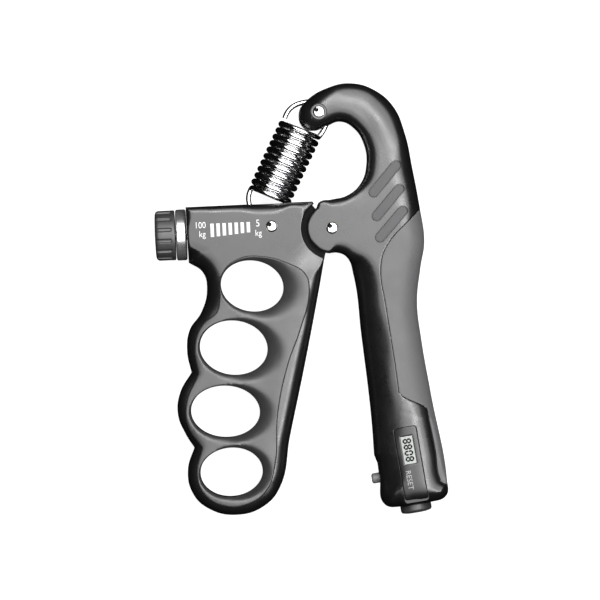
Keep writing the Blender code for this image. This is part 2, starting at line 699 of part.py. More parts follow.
def electronics_cutters():
    """The counter's bay, window, face recess, plunger bore and reset bore."""
    bay = box((13.4 * MM, 25.6 * MM, 17.4 * MM), handle_matrix(-2.2 * MM, 0, 12.6 * MM))
    shaft = box((7.6 * MM, 12.8 * MM, 8 * MM), handle_matrix(WINDOW_S, 0, 20 * MM))
    recess = rounded_plate(PLATE_SIZE[0] + 0.3 * MM, PLATE_SIZE[1] + 0.3 * MM, 1.0 * MM,
                           22.9 * MM, 26 * MM, handle_matrix(0, 0, 0))
    across = turned_towards((cos(HANDLE_TILT), sin(HANDLE_TILT)), (*handle_point(PLUNGER_S, 0), MIDDLE))
    bore = cylinder(PLUNGER_RADIUS + GAP, -20 * MM, -5 * MM, across, sides=16)
    pocket = cylinder(3.2 * MM, -11.2 * MM, -5 * MM, across, sides=16)
    down = turned_towards((sin(HANDLE_TILT), -cos(HANDLE_TILT)), (*handle_point(0, RESET_T), MIDDLE))
    reset_bore = cylinder(RESET_RADIUS + GAP, 5 * MM, 20 * MM, down, sides=28)
    reset_pocket = cylinder(7.2 * MM, 9.0 * MM, 12.9 * MM, down, sides=28)
    return bay, shaft, recess, bore, pocket, reset_bore, reset_pocket


def build_palm_handle(axis):
    body = as_mesh(palm_body())
    pad_space = pad_region(GAP, GAP)
    for front in (True, False):
        side = "front" if front else "rear"
        casing = copy_of(body)
        boolean(casing, "INTERSECT", half_space(front))
        cut(casing, pad_space)
        cut(casing, *case_screw_cutters(PALM_SCREWS, rear=not front))
        bay, shaft, recess, *bores = electronics_cutters()
        cut(casing, bay, *bores)
        if front:
            cut(casing, shaft, recess)
        for start, end in INLAYS:
            radius = INLAY_WIDTH / 2 + GAP
            low = THICKNESS - 1.2 * MM if front else -MM
            high = THICKNESS + MM if front else 1.2 * MM
            cut(casing, outline_solid(stadium(start, end, radius / MM), low, high, resolution=1))
        place(as_mesh(casing, PARTS), f"palm_casing_{side}", CASING, axis)
        for number, (start, end) in enumerate(INLAYS, 1):
            low = THICKNESS - 1.05 * MM if front else 0
            high = THICKNESS + 0.25 * MM if front else 1.05 * MM
            points = stadium(start, end, INLAY_WIDTH / 2 / MM)
            inlay = outline_solid(points, low, high, resolution=1, collection=PARTS)
            place(inlay, f"grip_inlay_{side}_{number}", SOFT, axis)
        build_ferrule(front, axis)

    pad = copy_of(body)
    boolean(pad, "INTERSECT", pad_region(-GAP, -GAP))
    place(as_mesh(pad, PARTS), "palm_pad", SOFT, axis)
    case_screws("palm_case_screw", PALM_SCREWS, axis)
    build_dished_pin("hook_pin", HOOK_PIN_RADIUS, HOOK_PIN, axis)


def build_ferrule(front, axis):
    """The thin metal ring set into the casing round the hook pin's end."""
    low = THICKNESS - 1.4 * MM if front else 0.1 * MM
    ring = upright(3.0 * MM, low, low + 1.3 * MM, HOOK_PIN, sides=20)
    cut(ring, upright(HOOK_PIN_RADIUS + GAP, low - MM, low + 3 * MM, HOOK_PIN, sides=20))
    side = "front" if front else "rear"
    place(as_mesh(ring, PARTS), f"hook_pin_ferrule_{side}", STEEL, axis)


def build_pivot(axis):
    build_dished_pin("pivot_pin", PIVOT_PIN_RADIUS, PIVOT, axis)
    half = TONGUE_THICKNESS / 2
    bush = upright(BUSH_RADIUS, MIDDLE - half, MIDDLE + half, PIVOT, sides=32)
    cut(bush, upright(PIVOT_PIN_RADIUS + 0.1 * MM, 0, THICKNESS, PIVOT, sides=20))
    place(as_mesh(bush, PARTS), "pivot_bush", BRASS)
    for side, low in (("front", MIDDLE + half + GAP), ("rear", MIDDLE - half - GAP - 0.7 * MM)):
        washer = upright(6.0 * MM, low, low + 0.7 * MM, PIVOT, sides=32)
        cut(washer, upright(PIVOT_PIN_RADIUS + GAP, 0, THICKNESS, PIVOT, sides=20))
        place(as_mesh(washer, PARTS), f"pivot_washer_{side}", STEEL)


# Counter


def build_counter(axis):
    plate = rounded_plate(*PLATE_SIZE, 0.9 * MM, 23.1 * MM, 23.9 * MM, handle_matrix(0, 0, 0))
    cut(plate, box((*WINDOW_SIZE, 4 * MM), handle_matrix(WINDOW_S, 0, 23.5 * MM)))
    place(as_mesh(plate, PARTS), "counter_face_plate", BLACK, axis)
    display = box((7.0 * MM, 12.2 * MM, 3.6 * MM), handle_matrix(WINDOW_S, 0, 21.0 * MM), PARTS)
    place(display, "counter_display", GLASS, axis, smooth=False)
    board = box((12.4 * MM, 22.0 * MM, 1.2 * MM), handle_matrix(-3.4 * MM, 0, 18.2 * MM), PARTS)
    place(board, "counter_board", BOARD, axis, smooth=False)
    cell_spot = handle_point(-8.2 * MM, 0)
    cell = upright(5.8 * MM, 8.2 * MM, 13.6 * MM, cell_spot, sides=32, collection=PARTS)
    place(cell, "coin_cell", STEEL, axis)
    clip = box((5 * MM, 12.0 * MM, 0.5 * MM), handle_matrix(-8.2 * MM, 0, 14.2 * MM))
    join(clip, box((5 * MM, 0.5 * MM, 3.2 * MM), handle_matrix(-2.45 * MM, 0, 15.8 * MM)))
    place(as_mesh(clip, PARTS), "battery_clip", BRASS, axis, smooth=False)
    switch = box((3.6 * MM, 4.6 * MM, 4.6 * MM), handle_matrix(PLUNGER_S, -4.2 * MM))
    across = turned_towards((cos(HANDLE_TILT), sin(HANDLE_TILT)), (*handle_point(PLUNGER_S, 0), MIDDLE))
    join(switch, cylinder(0.9 * MM, -6.5 * MM, -5.8 * MM, across, sides=16))
    place(as_mesh(switch, PARTS), "count_switch", BLACK, axis)
    reset_switch = box((6 * MM, 2.2 * MM, 6 * MM), handle_matrix(7.7 * MM, RESET_T))
    down = turned_towards((sin(HANDLE_TILT), -cos(HANDLE_TILT)), (*handle_point(0, RESET_T), MIDDLE))
    join(reset_switch, cylinder(1.2 * MM, 8.6 * MM, 9.4 * MM, down, sides=16))
    place(as_mesh(reset_switch, PARTS), "reset_switch", BLACK, axis)


def small_spring(name, radius, wire_radius, low, high, turns, matrix, axis):
    steps = turns * 8
    points = []
    for i in range(steps + 1):
        angle = tau * turns * i / steps
        points.append((radius * cos(angle), radius * sin(angle), low + (high - low) * i / steps))
    place(wire(points, wire_radius, PARTS, 1, matrix), name, STEEL, axis)


def build_plunger(palm_axis, axis):
    across = turned_towards((cos(HANDLE_TILT), sin(HANDLE_TILT)), (*handle_point(PLUNGER_S, 0), MIDDLE))
    profile = [
        (0, -9.2 * MM), (1.0 * MM, -9.2 * MM), (1.0 * MM, -9.8 * MM), (2.8 * MM, -9.8 * MM),
        (2.8 * MM, -10.8 * MM), (PLUNGER_RADIUS, -10.8 * MM), (PLUNGER_RADIUS, PLUNGER_TIP + 0.5 * MM),
        (PLUNGER_RADIUS - 0.5 * MM, PLUNGER_TIP), (0, PLUNGER_TIP),
    ]
    place(turned(profile, across, steps=16, collection=PARTS), "count_plunger", BLACK, axis)
    small_spring("plunger_spring", 1.9 * MM, 0.2 * MM, -9.4 * MM, -6.4 * MM, 4, across, palm_axis)


def build_reset_button(palm_axis, axis):
    down = turned_towards((sin(HANDLE_TILT), -cos(HANDLE_TILT)), (*handle_point(0, RESET_T), MIDDLE))
    profile = [
        (0, RESET_TIP),
        (RESET_RADIUS - 0.6 * MM, RESET_TIP - 0.5 * MM),
        (RESET_RADIUS, RESET_TIP - 1.1 * MM),
        (RESET_RADIUS, 12.6 * MM), (6.9 * MM, 12.6 * MM), (6.9 * MM, 11.8 * MM), (0, 11.8 * MM),
    ]
    place(turned(profile, down, steps=28, collection=PARTS), "reset_button", BLACK, axis)
    small_spring("reset_spring", 2.3 * MM, 0.22 * MM, 9.1 * MM, 11.5 * MM, 3, down, palm_axis)


# Assembly


def main():
    squeeze = joint_empty("squeeze_axis", (PIVOT.x, PIVOT.y, MIDDLE))
    turning = joint_empty("adjuster_axis", (*barrel_point(BARREL_END, 0), MIDDLE))
    sliding = joint_empty("carriage_axis", (*barrel_point(*ANCHOR_PIN), MIDDLE))
    hanging = joint_empty("spring_axis", (HOOK_PIN.x, HOOK_PIN.y, MIDDLE), squeeze)
    counting = joint_empty("plunger_axis", (*handle_point(PLUNGER_S, PLUNGER_TIP), MIDDLE), squeeze)
    resetting = joint_empty("reset_axis", (*handle_point(RESET_TIP, RESET_T), MIDDLE), squeeze)
    build_finger_handle()
    build_barrel_fittings()
    build_adjuster(turning)
    build_carriage(sliding)
    build_spring(hanging)
    build_palm_handle(squeeze)
    build_pivot(squeeze)
    build_counter(squeeze)
    build_plunger(squeeze, counting)
    build_reset_button(squeeze, resetting)


main()
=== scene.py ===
"""The looks of an adjustable finger exerciser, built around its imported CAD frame.

The object lies on its back: +X towards the palm handle, +Y towards the hook, +Z out of the front face.
Dimensions and outlines are in millimetres. Meshes, textures, lights and the camera are in metres.
"""

from functools import partial
from math import atan2, ceil, cos, pi, radians, sin, tau

import bmesh
import bpy
import numpy as np
from mathutils import Matrix, Vector
from mathutils.geometry import delaunay_2d_cdt


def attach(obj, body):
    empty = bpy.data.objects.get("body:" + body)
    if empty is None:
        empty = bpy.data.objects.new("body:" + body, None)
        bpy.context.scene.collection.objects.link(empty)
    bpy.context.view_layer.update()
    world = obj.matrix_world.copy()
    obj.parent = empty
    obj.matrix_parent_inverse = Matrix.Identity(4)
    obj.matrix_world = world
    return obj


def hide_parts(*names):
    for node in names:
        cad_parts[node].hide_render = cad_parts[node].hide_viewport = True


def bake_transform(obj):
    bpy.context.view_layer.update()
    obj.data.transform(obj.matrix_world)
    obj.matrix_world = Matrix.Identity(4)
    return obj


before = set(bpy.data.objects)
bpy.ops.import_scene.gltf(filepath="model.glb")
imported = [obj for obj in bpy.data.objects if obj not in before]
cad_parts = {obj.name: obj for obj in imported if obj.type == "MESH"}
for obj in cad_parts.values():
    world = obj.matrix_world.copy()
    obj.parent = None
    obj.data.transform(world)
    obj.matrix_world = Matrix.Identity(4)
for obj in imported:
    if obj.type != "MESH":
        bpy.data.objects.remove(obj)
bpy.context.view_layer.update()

MM = 0.001
SCENE = bpy.context.scene

# Driving dimensions, in millimetres
HALF = 12.0
PARTING = 0.15
PIVOT = np.array((12.1, 27.85))
LUG_RADIUS = 9.9
LUG_GAP_RADIUS = 11.9
TONGUE_RADIUS = 9.0
TONGUE_HALF = 6.0
SLOT_HALF = 7.0
PIVOT_PIN_RADIUS = 2.2
BUSH_RADIUS = 3.6
BARREL_TILT = radians(2.6)
BARREL_TOP = 10.6
BARREL_END = -56.6
TROUGH_HALF = 9.2
STOP_PIN = (-23.5, 1.65)
STOP_PIN_RADIUS = 2.1
HOOK_PIN = np.array((6.9, 73.0))
HOOK_PIN_RADIUS = 1.9
HANDLE_TILT = radians(9.8)
COUNTER = np.array((42.7, -64.1))
RIM_DROP = 0.85
RIM_ANGLES = np.radians((7, 16, 26, 36, 47, 58, 69, 80, 90, 97))
PAD_THICKNESS = 1.5
PAD_GAP = 0.04
INLAY_DEPTH = 1.2
RIM_GROOVE = 0.4
SCREW_BORE = 1.4
SCREW_HEAD_BORE = 2.6
SCREW_PAD_BORE = 2.8
FACE = 2 * HALF

# The counter, in millimetres: S down the handle and T across it, from the plate's middle
PLATE_WIDTH, PLATE_LENGTH = 9.1, 29.5
WINDOW_WIDTH, WINDOW_LENGTH, WINDOW_S = 4.7, 10.9, -5.7
PLUNGER_S = 3.15
PLUNGER_TIP = -15.9
PLUNGER_RADIUS, PLUNGER_FLANGE = 2.0, 2.8
RESET_T = -0.75
RESET_TIP = 19.1
RESET_RADIUS = 6.05

# The spring, in millimetres
SPRING_TILT = radians(25.1)
SPRING_TOP = np.array((-0.16, 66.5))
COIL_RADIUS = 7.65
WIRE_RADIUS = 1.0
COIL_WIRE_RADIUS = 1.22
COIL_TURNS = 10.5
COIL_PITCH = 2.76
TOP_LOOP = np.array((1.2, 68.8))
TOP_LOOP_RADIUS = 7.8
TOP_LOOP_BULGE = 2.3
BOTTOM_LOOP_RADIUS = 7.4
ANCHOR_PIN = (-26.9, 8.4)

# Finger holes and the hollows dished round them: centre, half sizes, tilt in degrees
FINGER_HOLES = (
    ((-19.1, 5.3), 12.3, 9.9, -10.0),
    ((-26.3, -18.8), 13.3, 10.6, -6.0),
    ((-29.5, -43.6), 13.5, 10.1, -1.5),
    ((-27.1, -67.2), 12.2, 9.6, 6.0),
)
DISHES = (
    ((-14.9, 4.4), 17.2, 12.3, -11.0),
    ((-22.8, -19.8), 17.6, 12.5, -7.0),
    ((-26.5, -44.6), 17.4, 11.7, -2.0),
    ((-25.2, -67.6), 14.6, 11.2, 6.0),
)

# Outlines, clockwise. A third value marks a sharp corner.
FINGER_GRIP = (
    (-43.7, 14.3, "corner"), (-38.2, 10.5), (-36.6, 4.0), (-38.8, -4.9), (-43.4, -12.0), (-44.3, -20.4),
    (-42.6, -28.4, "corner"), (-47.0, -36.1), (-47.9, -44.6), (-45.0, -52.1), (-41.5, -57.6, "corner"),
    (-44.0, -66.0), (-42.2, -75.2), (-36.0, -81.3), (-24.6, -83.75), (-14.0, -80.1), (-8.1, -72.9),
    (-4.3, -53.4), (1.2, -26.8), (7.2, 5.0), (9.1, 16.2, "corner"),
)
FINGER_PAD = (
    (-31.7, 0.5), (-30.6, 10.2), (-24.0, 15.9), (-15.0, 16.7), (-4.8, 14.0), (1.6, 10.1), (3.3, 3.5),
    (-0.2, -11.6), (-4.9, -24.8), (-8.9, -43.5), (-10.1, -64.5), (-13.6, -74.6), (-20.6, -79.6),
    (-29.5, -80.4), (-37.4, -76.0), (-40.5, -68.5), (-38.4, -57.6, "corner"), (-44.0, -49.2),
    (-44.6, -40.6), (-39.9, -29.0, "corner"), (-41.3, -17.7), (-38.3, -9.8), (-32.6, -4.6),
)
PALM_OUTER = (
    (1.0, 66.9), (-0.9, 72.6), (1.9, 77.2), (11.0, 82.6), (19.5, 84.1), (28.5, 81.5), (35.9, 75.1),
    (40.4, 64.6), (43.4, 50.7), (46.1, 36.5), (48.0, 22.6), (46.5, 12.4), (45.2, -1.0), (46.8, -15.1),
    (50.7, -37.1), (56.8, -70.0), (56.6, -76.2), (49.4, -79.1, "corner"), (40.0, -80.7, "corner"),
    (32.6, -79.8), (30.7, -70.0), (29.8, -63.8, "corner"), (28.5, -60.7, "corner"), (27.4, -46.1),
    (23.5, -13.8), (20.4, 9.8), (18.0, 16.4), (14.6, 18.2),
)
HOOK_INNER = (
    (7.0, 37.8), (12.0, 38.9), (18.0, 40.5), (23.2, 45.2), (25.5, 52.6), (24.5, 60.7), (20.6, 66.9),
    (15.2, 69.5), (9.6, 67.5), (5.2, 65.9),
)
PALM_PAD = (
    (46.0, 34.7, "corner"), (32.6, 19.4), (31.0, 11.3), (32.9, -2.1), (36.5, -24.8),
    (38.1, -36.4, "corner"), (40.1, -38.0), (46.6, -40.9), (48.7, -42.1), (49.6, -45.7), (52.3, -59.2),
    (53.8, -69.1), (55.0, -71.2), (57.0, -72.0, "corner"), (62.0, -72.0, "corner"), (62.0, 34.7, "corner"),
)
PALM_CORE = (
    (36.0, 37.0, "corner"), (43.4, 31.0, "corner"), (45.6, 22.0), (44.1, 12.0), (42.9, -1.0), (44.5, -15.4),
    (47.8, -34.2, "corner"), (28.0, -34.2, "corner"), (26.0, 10.0, "corner"),
)
INLAYS = (((36.8, 52.1), (28.2, 41.6)), ((38.1, 42.9), (29.4, 32.4)), ((39.4, 34.4), (30.7, 24.1)))
INLAY_RADIUS = 1.9
FINGER_SCREWS = ((-36.4, 16.4), (-1.0, -0.5), (-7.2, -25.5), (-13.4, -56.0))
PALM_SCREWS = ((23.8, 75.6), (30.2, 60.4), (25.0, 12.0), (30.2, -23.6), (33.6, -45.2))

# How far each rim's rounding reaches into the face, at a few spots. Between them it changes smoothly.
FINGER_REACH = (
    ((-44.0, 36.0), 2.4), ((-30.0, 36.6), 2.8), ((-12.0, 37.4), 4.4), ((2.0, 38.0), 2.8),
    ((-44.5, 24.0), 1.0),
    ((-42.0, 13.0), 8.5), ((-37.0, 4.0), 7.0), ((-42.0, -12.0), 5.4), ((-47.0, -42.0), 4.8),
    ((-42.0, -75.0), 5.0), ((-24.0, -83.0), 5.0), ((-8.0, -73.0), 4.6), ((0.0, -30.0), 4.4),
    ((7.0, 5.0), 4.2), ((1.0, 24.0), 0.5), ((4.0, 18.0), 0.5), ((5.0, 36.0), 0.5), ((0.5, 30.0), 0.5),
)
PALM_REACH = (
    ((-1.0, 71.0), 7.5), ((20.0, 84.0), 3.0), ((38.0, 70.0), 3.7), ((45.0, 42.0), 4.8), ((25.0, 54.0), 5.0),
    ((14.0, 69.0), 5.0), ((16.0, 39.0), 3.2), ((6.0, 37.0), 1.4), ((2.5, 27.0), 1.0), ((9.0, 18.5), 1.2),
    ((15.5, 18.0), 4.5), ((20.0, 8.0), 13.5), ((24.0, -18.0), 16.5), ((28.0, -50.0), 19.0),
    ((30.5, -70.0), 20.0), ((32.0, -77.0), 17.0), ((36.0, -80.3), 9.0), ((42.0, -80.5), 6.0),
    ((49.0, -79.3), 5.5), ((56.0, -77.0), 5.5), ((53.5, -52.0), 8.5),
    ((47.0, -15.0), 9.0), ((45.5, 5.0), 8.5), ((48.0, 24.0), 7.0),
)

# How much the palm handle's face falls away towards its outer edge, before the rim, at a few spots
PALM_CROWN = (
    ((-1.0, 71.0), 0.4), ((8.0, 82.0), 1.2), ((20.0, 84.0), 1.7), ((36.0, 75.0), 2.2), ((43.0, 52.0), 2.1),
    ((46.0, 38.0), 1.9), ((30.0, 52.0), 0.0), ((18.0, 72.0), 0.0), ((10.0, 30.0), 0.0), ((20.0, 30.0), 0.0),
    ((30.0, 0.0), 0.3), ((46.0, -10.0), 0.6), ((50.0, -50.0), 0.6), ((30.0, -60.0), 0.3),
)
FINGER_CROWN = (
    ((-44.0, 30.0), 0.0), ((0.0, 30.0), 0.0), ((-45.0, -30.0), 0.0), ((-24.0, -83.0), 0.2),
    ((9.0, 14.0), 0.8), ((4.0, -12.0), 1.3), ((-1.0, -35.0), 1.5), ((-6.0, -62.0), 1.3),
)
CROWN_REACH = 9.6
STRIP_REACH = 9.0
STRIP_DROP = 3.2


# Frames


def barrel_point(u, v):
    """XY in millimetres of a point in the barrel's frame: u along it to the pivot, v up across it."""
    along = np.array((cos(BARREL_TILT), sin(BARREL_TILT)))
    across = np.array((-sin(BARREL_TILT), cos(BARREL_TILT)))
    return PIVOT + along * u + across * v


def handle_point(s, t):
    """XY in millimetres of a point in the counter's frame: s down the handle, t across it."""
    down = np.array((sin(HANDLE_TILT), -cos(HANDLE_TILT)))
    right = np.array((cos(HANDLE_TILT), sin(HANDLE_TILT)))
    return COUNTER + down * s + right * t


def axes_matrix(x_axis, y_axis, z_axis, origin):
    matrix = Matrix((x_axis, y_axis, z_axis)).transposed().to_4x4()
    matrix.translation = Vector(origin) * MM
    return matrix


def barrel_matrix():
    """Local Z along the barrel towards the pivot, local X up across it."""
    along = Vector((cos(BARREL_TILT), sin(BARREL_TILT), 0))
    across = Vector((-sin(BARREL_TILT), cos(BARREL_TILT), 0))
    return axes_matrix(across, along.cross(across), along, (*PIVOT, HALF))


def raised(spot, z=0):
    """The object's own axes, moved to a spot at a height."""
    return Matrix.Translation((spot[0] * MM, spot[1] * MM, z * MM))


def face_matrix(spot, tilt, z):
    """Local X along the line of print, local Z out of the front face."""
    return raised(spot, z) @ Matrix.Rotation(tilt, 4, "Z")


def turned_towards(direction, origin):
    """Local Z along a direction that lies in the XY plane."""
    z_axis = Vector((direction[0], direction[1], 0)).normalized()
    y_axis = Vector((0, 0, 1))
    return axes_matrix(y_axis.cross(z_axis), y_axis, z_axis, origin)


def trigger_matrix():
    """Local Z along the trigger, across the palm handle and into it."""
    return turned_towards((cos(HANDLE_TILT), sin(HANDLE_TILT)), (*handle_point(PLUNGER_S, 0), HALF))


def reset_matrix():
    """Local Z along the reset key, down the palm handle and out of its end."""
    return turned_towards((sin(HANDLE_TILT), -cos(HANDLE_TILT)), (*handle_point(0, RESET_T), HALF))


# Flat outlines, in millimetres


def planar(points):
    """The X and Y of some points."""
    return np.array([point[:2] for point in points])


def anticlockwise(loop):
    return np.sum(loop[:, 0] * np.roll(loop[:, 1], -1) - loop[:, 1] * np.roll(loop[:, 0], -1)) > 0


def split_long(loop, longest):
    points = []
    for start, end in zip(loop, np.roll(loop, -1, axis=0)):
        count = max(1, ceil(np.linalg.norm(end - start) / longest))
        points += [start + (end - start) * i / count for i in range(count)]
    return np.array(points)


def outline(points, longest):
    """Even points along a smooth closed outline that is given by a few."""
    curve = bpy.data.curves.new("outline", "CURVE")
    curve.dimensions = "2D"
    curve.fill_mode = "NONE"
    curve.resolution_u = 12
    spline = curve.splines.new("BEZIER")
    spline.bezier_points.add(len(points) - 1)
    spline.use_cyclic_u = True
    for knot, point in zip(spline.bezier_points, points):
        knot.co = (point[0], point[1], 0)
        kind = "VECTOR" if len(point) == 3 else "AUTO"
        knot.handle_left_type = kind
        knot.handle_right_type = kind
    source = bpy.data.objects.new("outline", curve)
    SCENE.collection.objects.link(source)
    bpy.context.view_layer.update()
    mesh = source.evaluated_get(bpy.context.evaluated_depsgraph_get()).to_mesh()
    loop = np.array([vertex.co[:2] for vertex in mesh.vertices])
    bpy.data.objects.remove(source, do_unlink=True)
    return split_long(loop, longest)


def arc(centre, radius, first, last, steps):
    """Corner points along an arc, from the angle first to last in degrees."""
    angles = [radians(first + (last - first) * i / steps) for i in range(steps + 1)]
    return [(centre[0] + radius * cos(a), centre[1] + radius * sin(a), "corner") for a in angles]


def ellipse(centre, half_width, half_height, tilt, steps=72):
    angles = np.arange(steps) * tau / steps
    local = np.stack((half_width * np.cos(angles), half_height * np.sin(angles)), axis=1)
    turn = radians(tilt)
    return local @ np.array(((cos(turn), sin(turn)), (-sin(turn), cos(turn)))) + np.array(centre)


def ellipse_share(points, centre, half_width, half_height, tilt):
    """Distance from an ellipse's centre as a share of its radius that way."""
    turn = radians(tilt)
    local = (points - np.array(centre)) @ np.array(((cos(turn), -sin(turn)), (sin(turn), cos(turn))))
    return np.hypot(local[:, 0] / half_width, local[:, 1] / half_height)


def stadium(start, end, radius, steps=14):
    """A slot with round ends."""
    heading = np.degrees(atan2(end[1] - start[1], end[0] - start[0]))
    far_end = arc(end, radius, heading + 90, heading - 90, steps)
    near_end = arc(start, radius, heading - 90, heading - 270, steps)
    return split_long(planar([*far_end, *near_end]), 0.8)


def rounded_box(width, height, radius, s):
    """A rectangle with round corners on the palm handle, its middle at s down the counter's frame."""
    corners = []
    for i, (side, end) in enumerate(((1, 1), (1, -1), (-1, -1), (-1, 1))):
        centre = (side * (width / 2 - radius), end * (height / 2 - radius))
        corners += arc(centre, radius, 90 - 90 * i, -90 * i, 5)
    return split_long(np.array([handle_point(s - y, x) for x, y, _ in corners]), 0.8)


def unit(vectors):
    return vectors / np.maximum(np.linalg.norm(vectors, axis=-1, keepdims=True), 1e-12)


def edge_distance(points, loop):
    """Distance from each point to a closed outline."""
    best = np.full(len(points), np.inf)
    for start, run in zip(loop, np.roll(loop, -1, axis=0) - loop):
        share = np.clip((points - start) @ run / max(run @ run, 1e-18), 0, 1)
        best = np.minimum(best, np.linalg.norm(points - start - share[:, None] * run, axis=1))
    return best


def inside(points, *loops):
    """Whether each point is inside the outermost of these loops and outside the holes in it."""
    x, y = points.T
    odd = np.zeros(len(points), bool)
    for loop in loops:
        for (x1, y1), (x2, y2) in zip(loop, np.roll(loop, -1, axis=0)):
            if y1 != y2:
                odd ^= ((y1 > y) != (y2 > y)) & (x < (x2 - x1) * (y - y1) / (y2 - y1) + x1)
    return odd


def grown(loop, amount):
    """A loop moved outwards by an amount."""
    ahead = unit(np.roll(loop, -1, axis=0) - np.roll(loop, 1, axis=0))
    outward = np.stack((ahead[:, 1], -ahead[:, 0]), axis=1) * (1 if anticlockwise(loop) else -1)
    return loop + outward * amount


def inward_rays(loop):
    """A starting point, direction and stretch for each ray into an outline. Hollow corners get a fan."""
    turn = 1 if anticlockwise(loop) else -1
    ahead = unit(np.roll(loop, -1, axis=0) - loop)
    after = turn * np.stack((-ahead[:, 1], ahead[:, 0]), axis=1)
    before = np.roll(after, 1, axis=0)
    starts, rays = [], []
    for point, first, second in zip(loop, before, after):
        bend = atan2(first[0] * second[1] - first[1] * second[0], first @ second) * turn
        count = 2 + int(-bend / radians(9)) if bend < -radians(9) else 1
        for i in range(count):
            share = 0.5 if count == 1 else i / (count - 1)
            ray = unit(first * (1 - share) + second * share)
            stretch = 1 / max(0.4, cos(bend / 2)) if bend > 0 else 1
            starts.append(point)
            rays.append(ray * stretch)
    return np.array(starts), np.array(rays)


def rim_rows(loop, reach, region):
    """Rows of points inside an outline, so that the facets of its rounded rim turn evenly."""
    starts, rays = inward_rays(loop)
    reaches = reach(starts)
    rows = []
    for angle in RIM_ANGLES:
        depth = reaches * (1 - cos(angle))
        row = starts + rays * depth[:, None]
        rows.append(row[(edge_distance(row, loop) > 0.96 * depth) & inside(row, *region)])
    return thinned(np.concatenate(rows), 0.06)


def thinned(points, spacing):
    keys = np.unique(np.round(points / spacing), axis=0, return_index=True)[1]
    return points[np.sort(keys)]


def filling(region, spacing, margin):
    """A staggered grid of points inside a region."""
    low = region[0].min(axis=0)
    high = region[0].max(axis=0)
    rows = np.arange(low[1], high[1], spacing * 0.87)
    across = np.arange(low[0], high[0], spacing)
    points = np.array([(x + (i % 2) * spacing / 2, y) for i, y in enumerate(rows) for x in across])
    points = points[inside(points, *region)]
    for loop in region:
        points = points[edge_distance(points, loop) > margin]
    return points


def spread(spots):
    """A smooth field through the values at a few spots."""
    places = np.array([spot for spot, _ in spots])
    values = np.array([value for _, value in spots])

    def field(points):
        gap = np.linalg.norm(points[:, None, :] - places[None, :, :], axis=2)
        weight = 1 / (gap + 0.4) ** 3.5
        return (weight * values).sum(axis=1) / weight.sum(axis=1)

    return field


def rounding(distance, reach, drop):
    """How far a rounded rim lies below its face, at a distance inside the outline."""
    share = np.clip(1 - distance / reach, 0, 1)
    return drop * (1 - np.sqrt(1 - share**2))


def smoothstep(value):
    value = np.clip(value, 0, 1)
    return value * value * (3 - 2 * value)


def even(value):
    """The same value everywhere."""
    return lambda points: np.full(len(points), value)


def level(height, sign):
    """A height above the middle plane as one above the ground, or as its mirror image."""
    return lambda points: HALF + sign * height(points)


# Solids


def new_piece(name, vertices, faces):
    mesh = bpy.data.meshes.new(name)
    mesh.from_pydata(vertices, [], faces)
    piece = bpy.data.objects.new(name, mesh)
    SCENE.collection.objects.link(piece)
    return piece


def lifted(name, loops, extra, top, bottom, creases=()):
    """A closed solid over a flat region. Its faces follow two functions of the points, in millimetres."""
    points, edges = [], []
    for loop in (*loops, *creases):
        first = len(points)
        points += list(loop)
        edges += [(first + i, first + (i + 1) % len(loop)) for i in range(len(loop))]
    points += list(extra)
    found = delaunay_2d_cdt([Vector(point) for point in points], edges, [], 0, 1e-5)
    flat = np.array([vertex[:] for vertex in found[0]])
    faces = np.array([face for face in found[2] if len(face) == 3])
    faces = faces[inside(flat[faces].mean(axis=1), *loops)]
    a, b, c = flat[faces[:, 0]], flat[faces[:, 1]], flat[faces[:, 2]]
    area = (b[:, 0] - a[:, 0]) * (c[:, 1] - a[:, 1]) - (b[:, 1] - a[:, 1]) * (c[:, 0] - a[:, 0])
    faces[area < 0] = faces[area < 0][:, ::-1]
    used, faces = np.unique(faces, return_inverse=True)
    faces = faces.reshape(-1, 3)
    flat = flat[used]
    count = len(flat)
    directed = {(face[i], face[(i + 1) % 3]) for face in faces.tolist() for i in range(3)}
    walls = [(i, i + count, j + count, j) for i, j in directed if (j, i) not in directed]
    upper = np.column_stack((flat, top(flat))) * MM
    lower = np.column_stack((flat, bottom(flat))) * MM
    shell = [*faces.tolist(), *(faces[:, ::-1] + count).tolist(), *sorted(walls)]
    return new_piece(name, [*upper.tolist(), *lower.tolist()], shell)


def layer(name, side, loops, extra, outer, inner):
    """A solid on the front or the rear, between two heights from the middle plane."""
    if side == "front":
        return lifted(name, loops, extra, level(outer, 1), level(inner, 1))
    return lifted(name, loops, extra, level(inner, -1), level(outer, -1))


def plate(loop, low, high):
    """A flat cutter between two heights, in millimetres."""
    count = len(loop)
    if not anticlockwise(loop):
        loop = loop[::-1]
    vertices = [(*point, z) for z in (high, low) for point in loop]
    vertices = [tuple(value * MM for value in vertex) for vertex in vertices]
    sides = [(i, i + count, (i + 1) % count + count, (i + 1) % count) for i in range(count)]
    faces = [tuple(range(count)), tuple(reversed(range(count, 2 * count))), *sides]
    return new_piece("cutter", vertices, faces)


def bar(radius, low, high, matrix=None, sides=48):
    """A cylinder along local Z, in millimetres."""
    bm = bmesh.new()
    bmesh.ops.create_cone(
        bm, cap_ends=True, segments=sides, radius1=radius * MM, radius2=radius * MM, depth=(high - low) * MM,
        matrix=(matrix or Matrix.Identity(4)) @ Matrix.Translation((0, 0, (low + high) / 2 * MM)),
    )
    return from_bmesh("cutter", bm)


def upright(radius, low, high, spot, sides=48):
    return bar(radius, low, high, raised(spot), sides)


def block(size, matrix):
    bm = bmesh.new()
    bmesh.ops.create_cube(bm, size=1.0, matrix=matrix @ Matrix.Diagonal((*[side * MM for side in size], 1.0)))
    return from_bmesh("cutter", bm)


def from_bmesh(name, bm):
    mesh = bpy.data.meshes.new(name)
    bm.to_mesh(mesh)
    bm.free()
    piece = bpy.data.objects.new(name, mesh)
    SCENE.collection.objects.link(piece)
    return piece


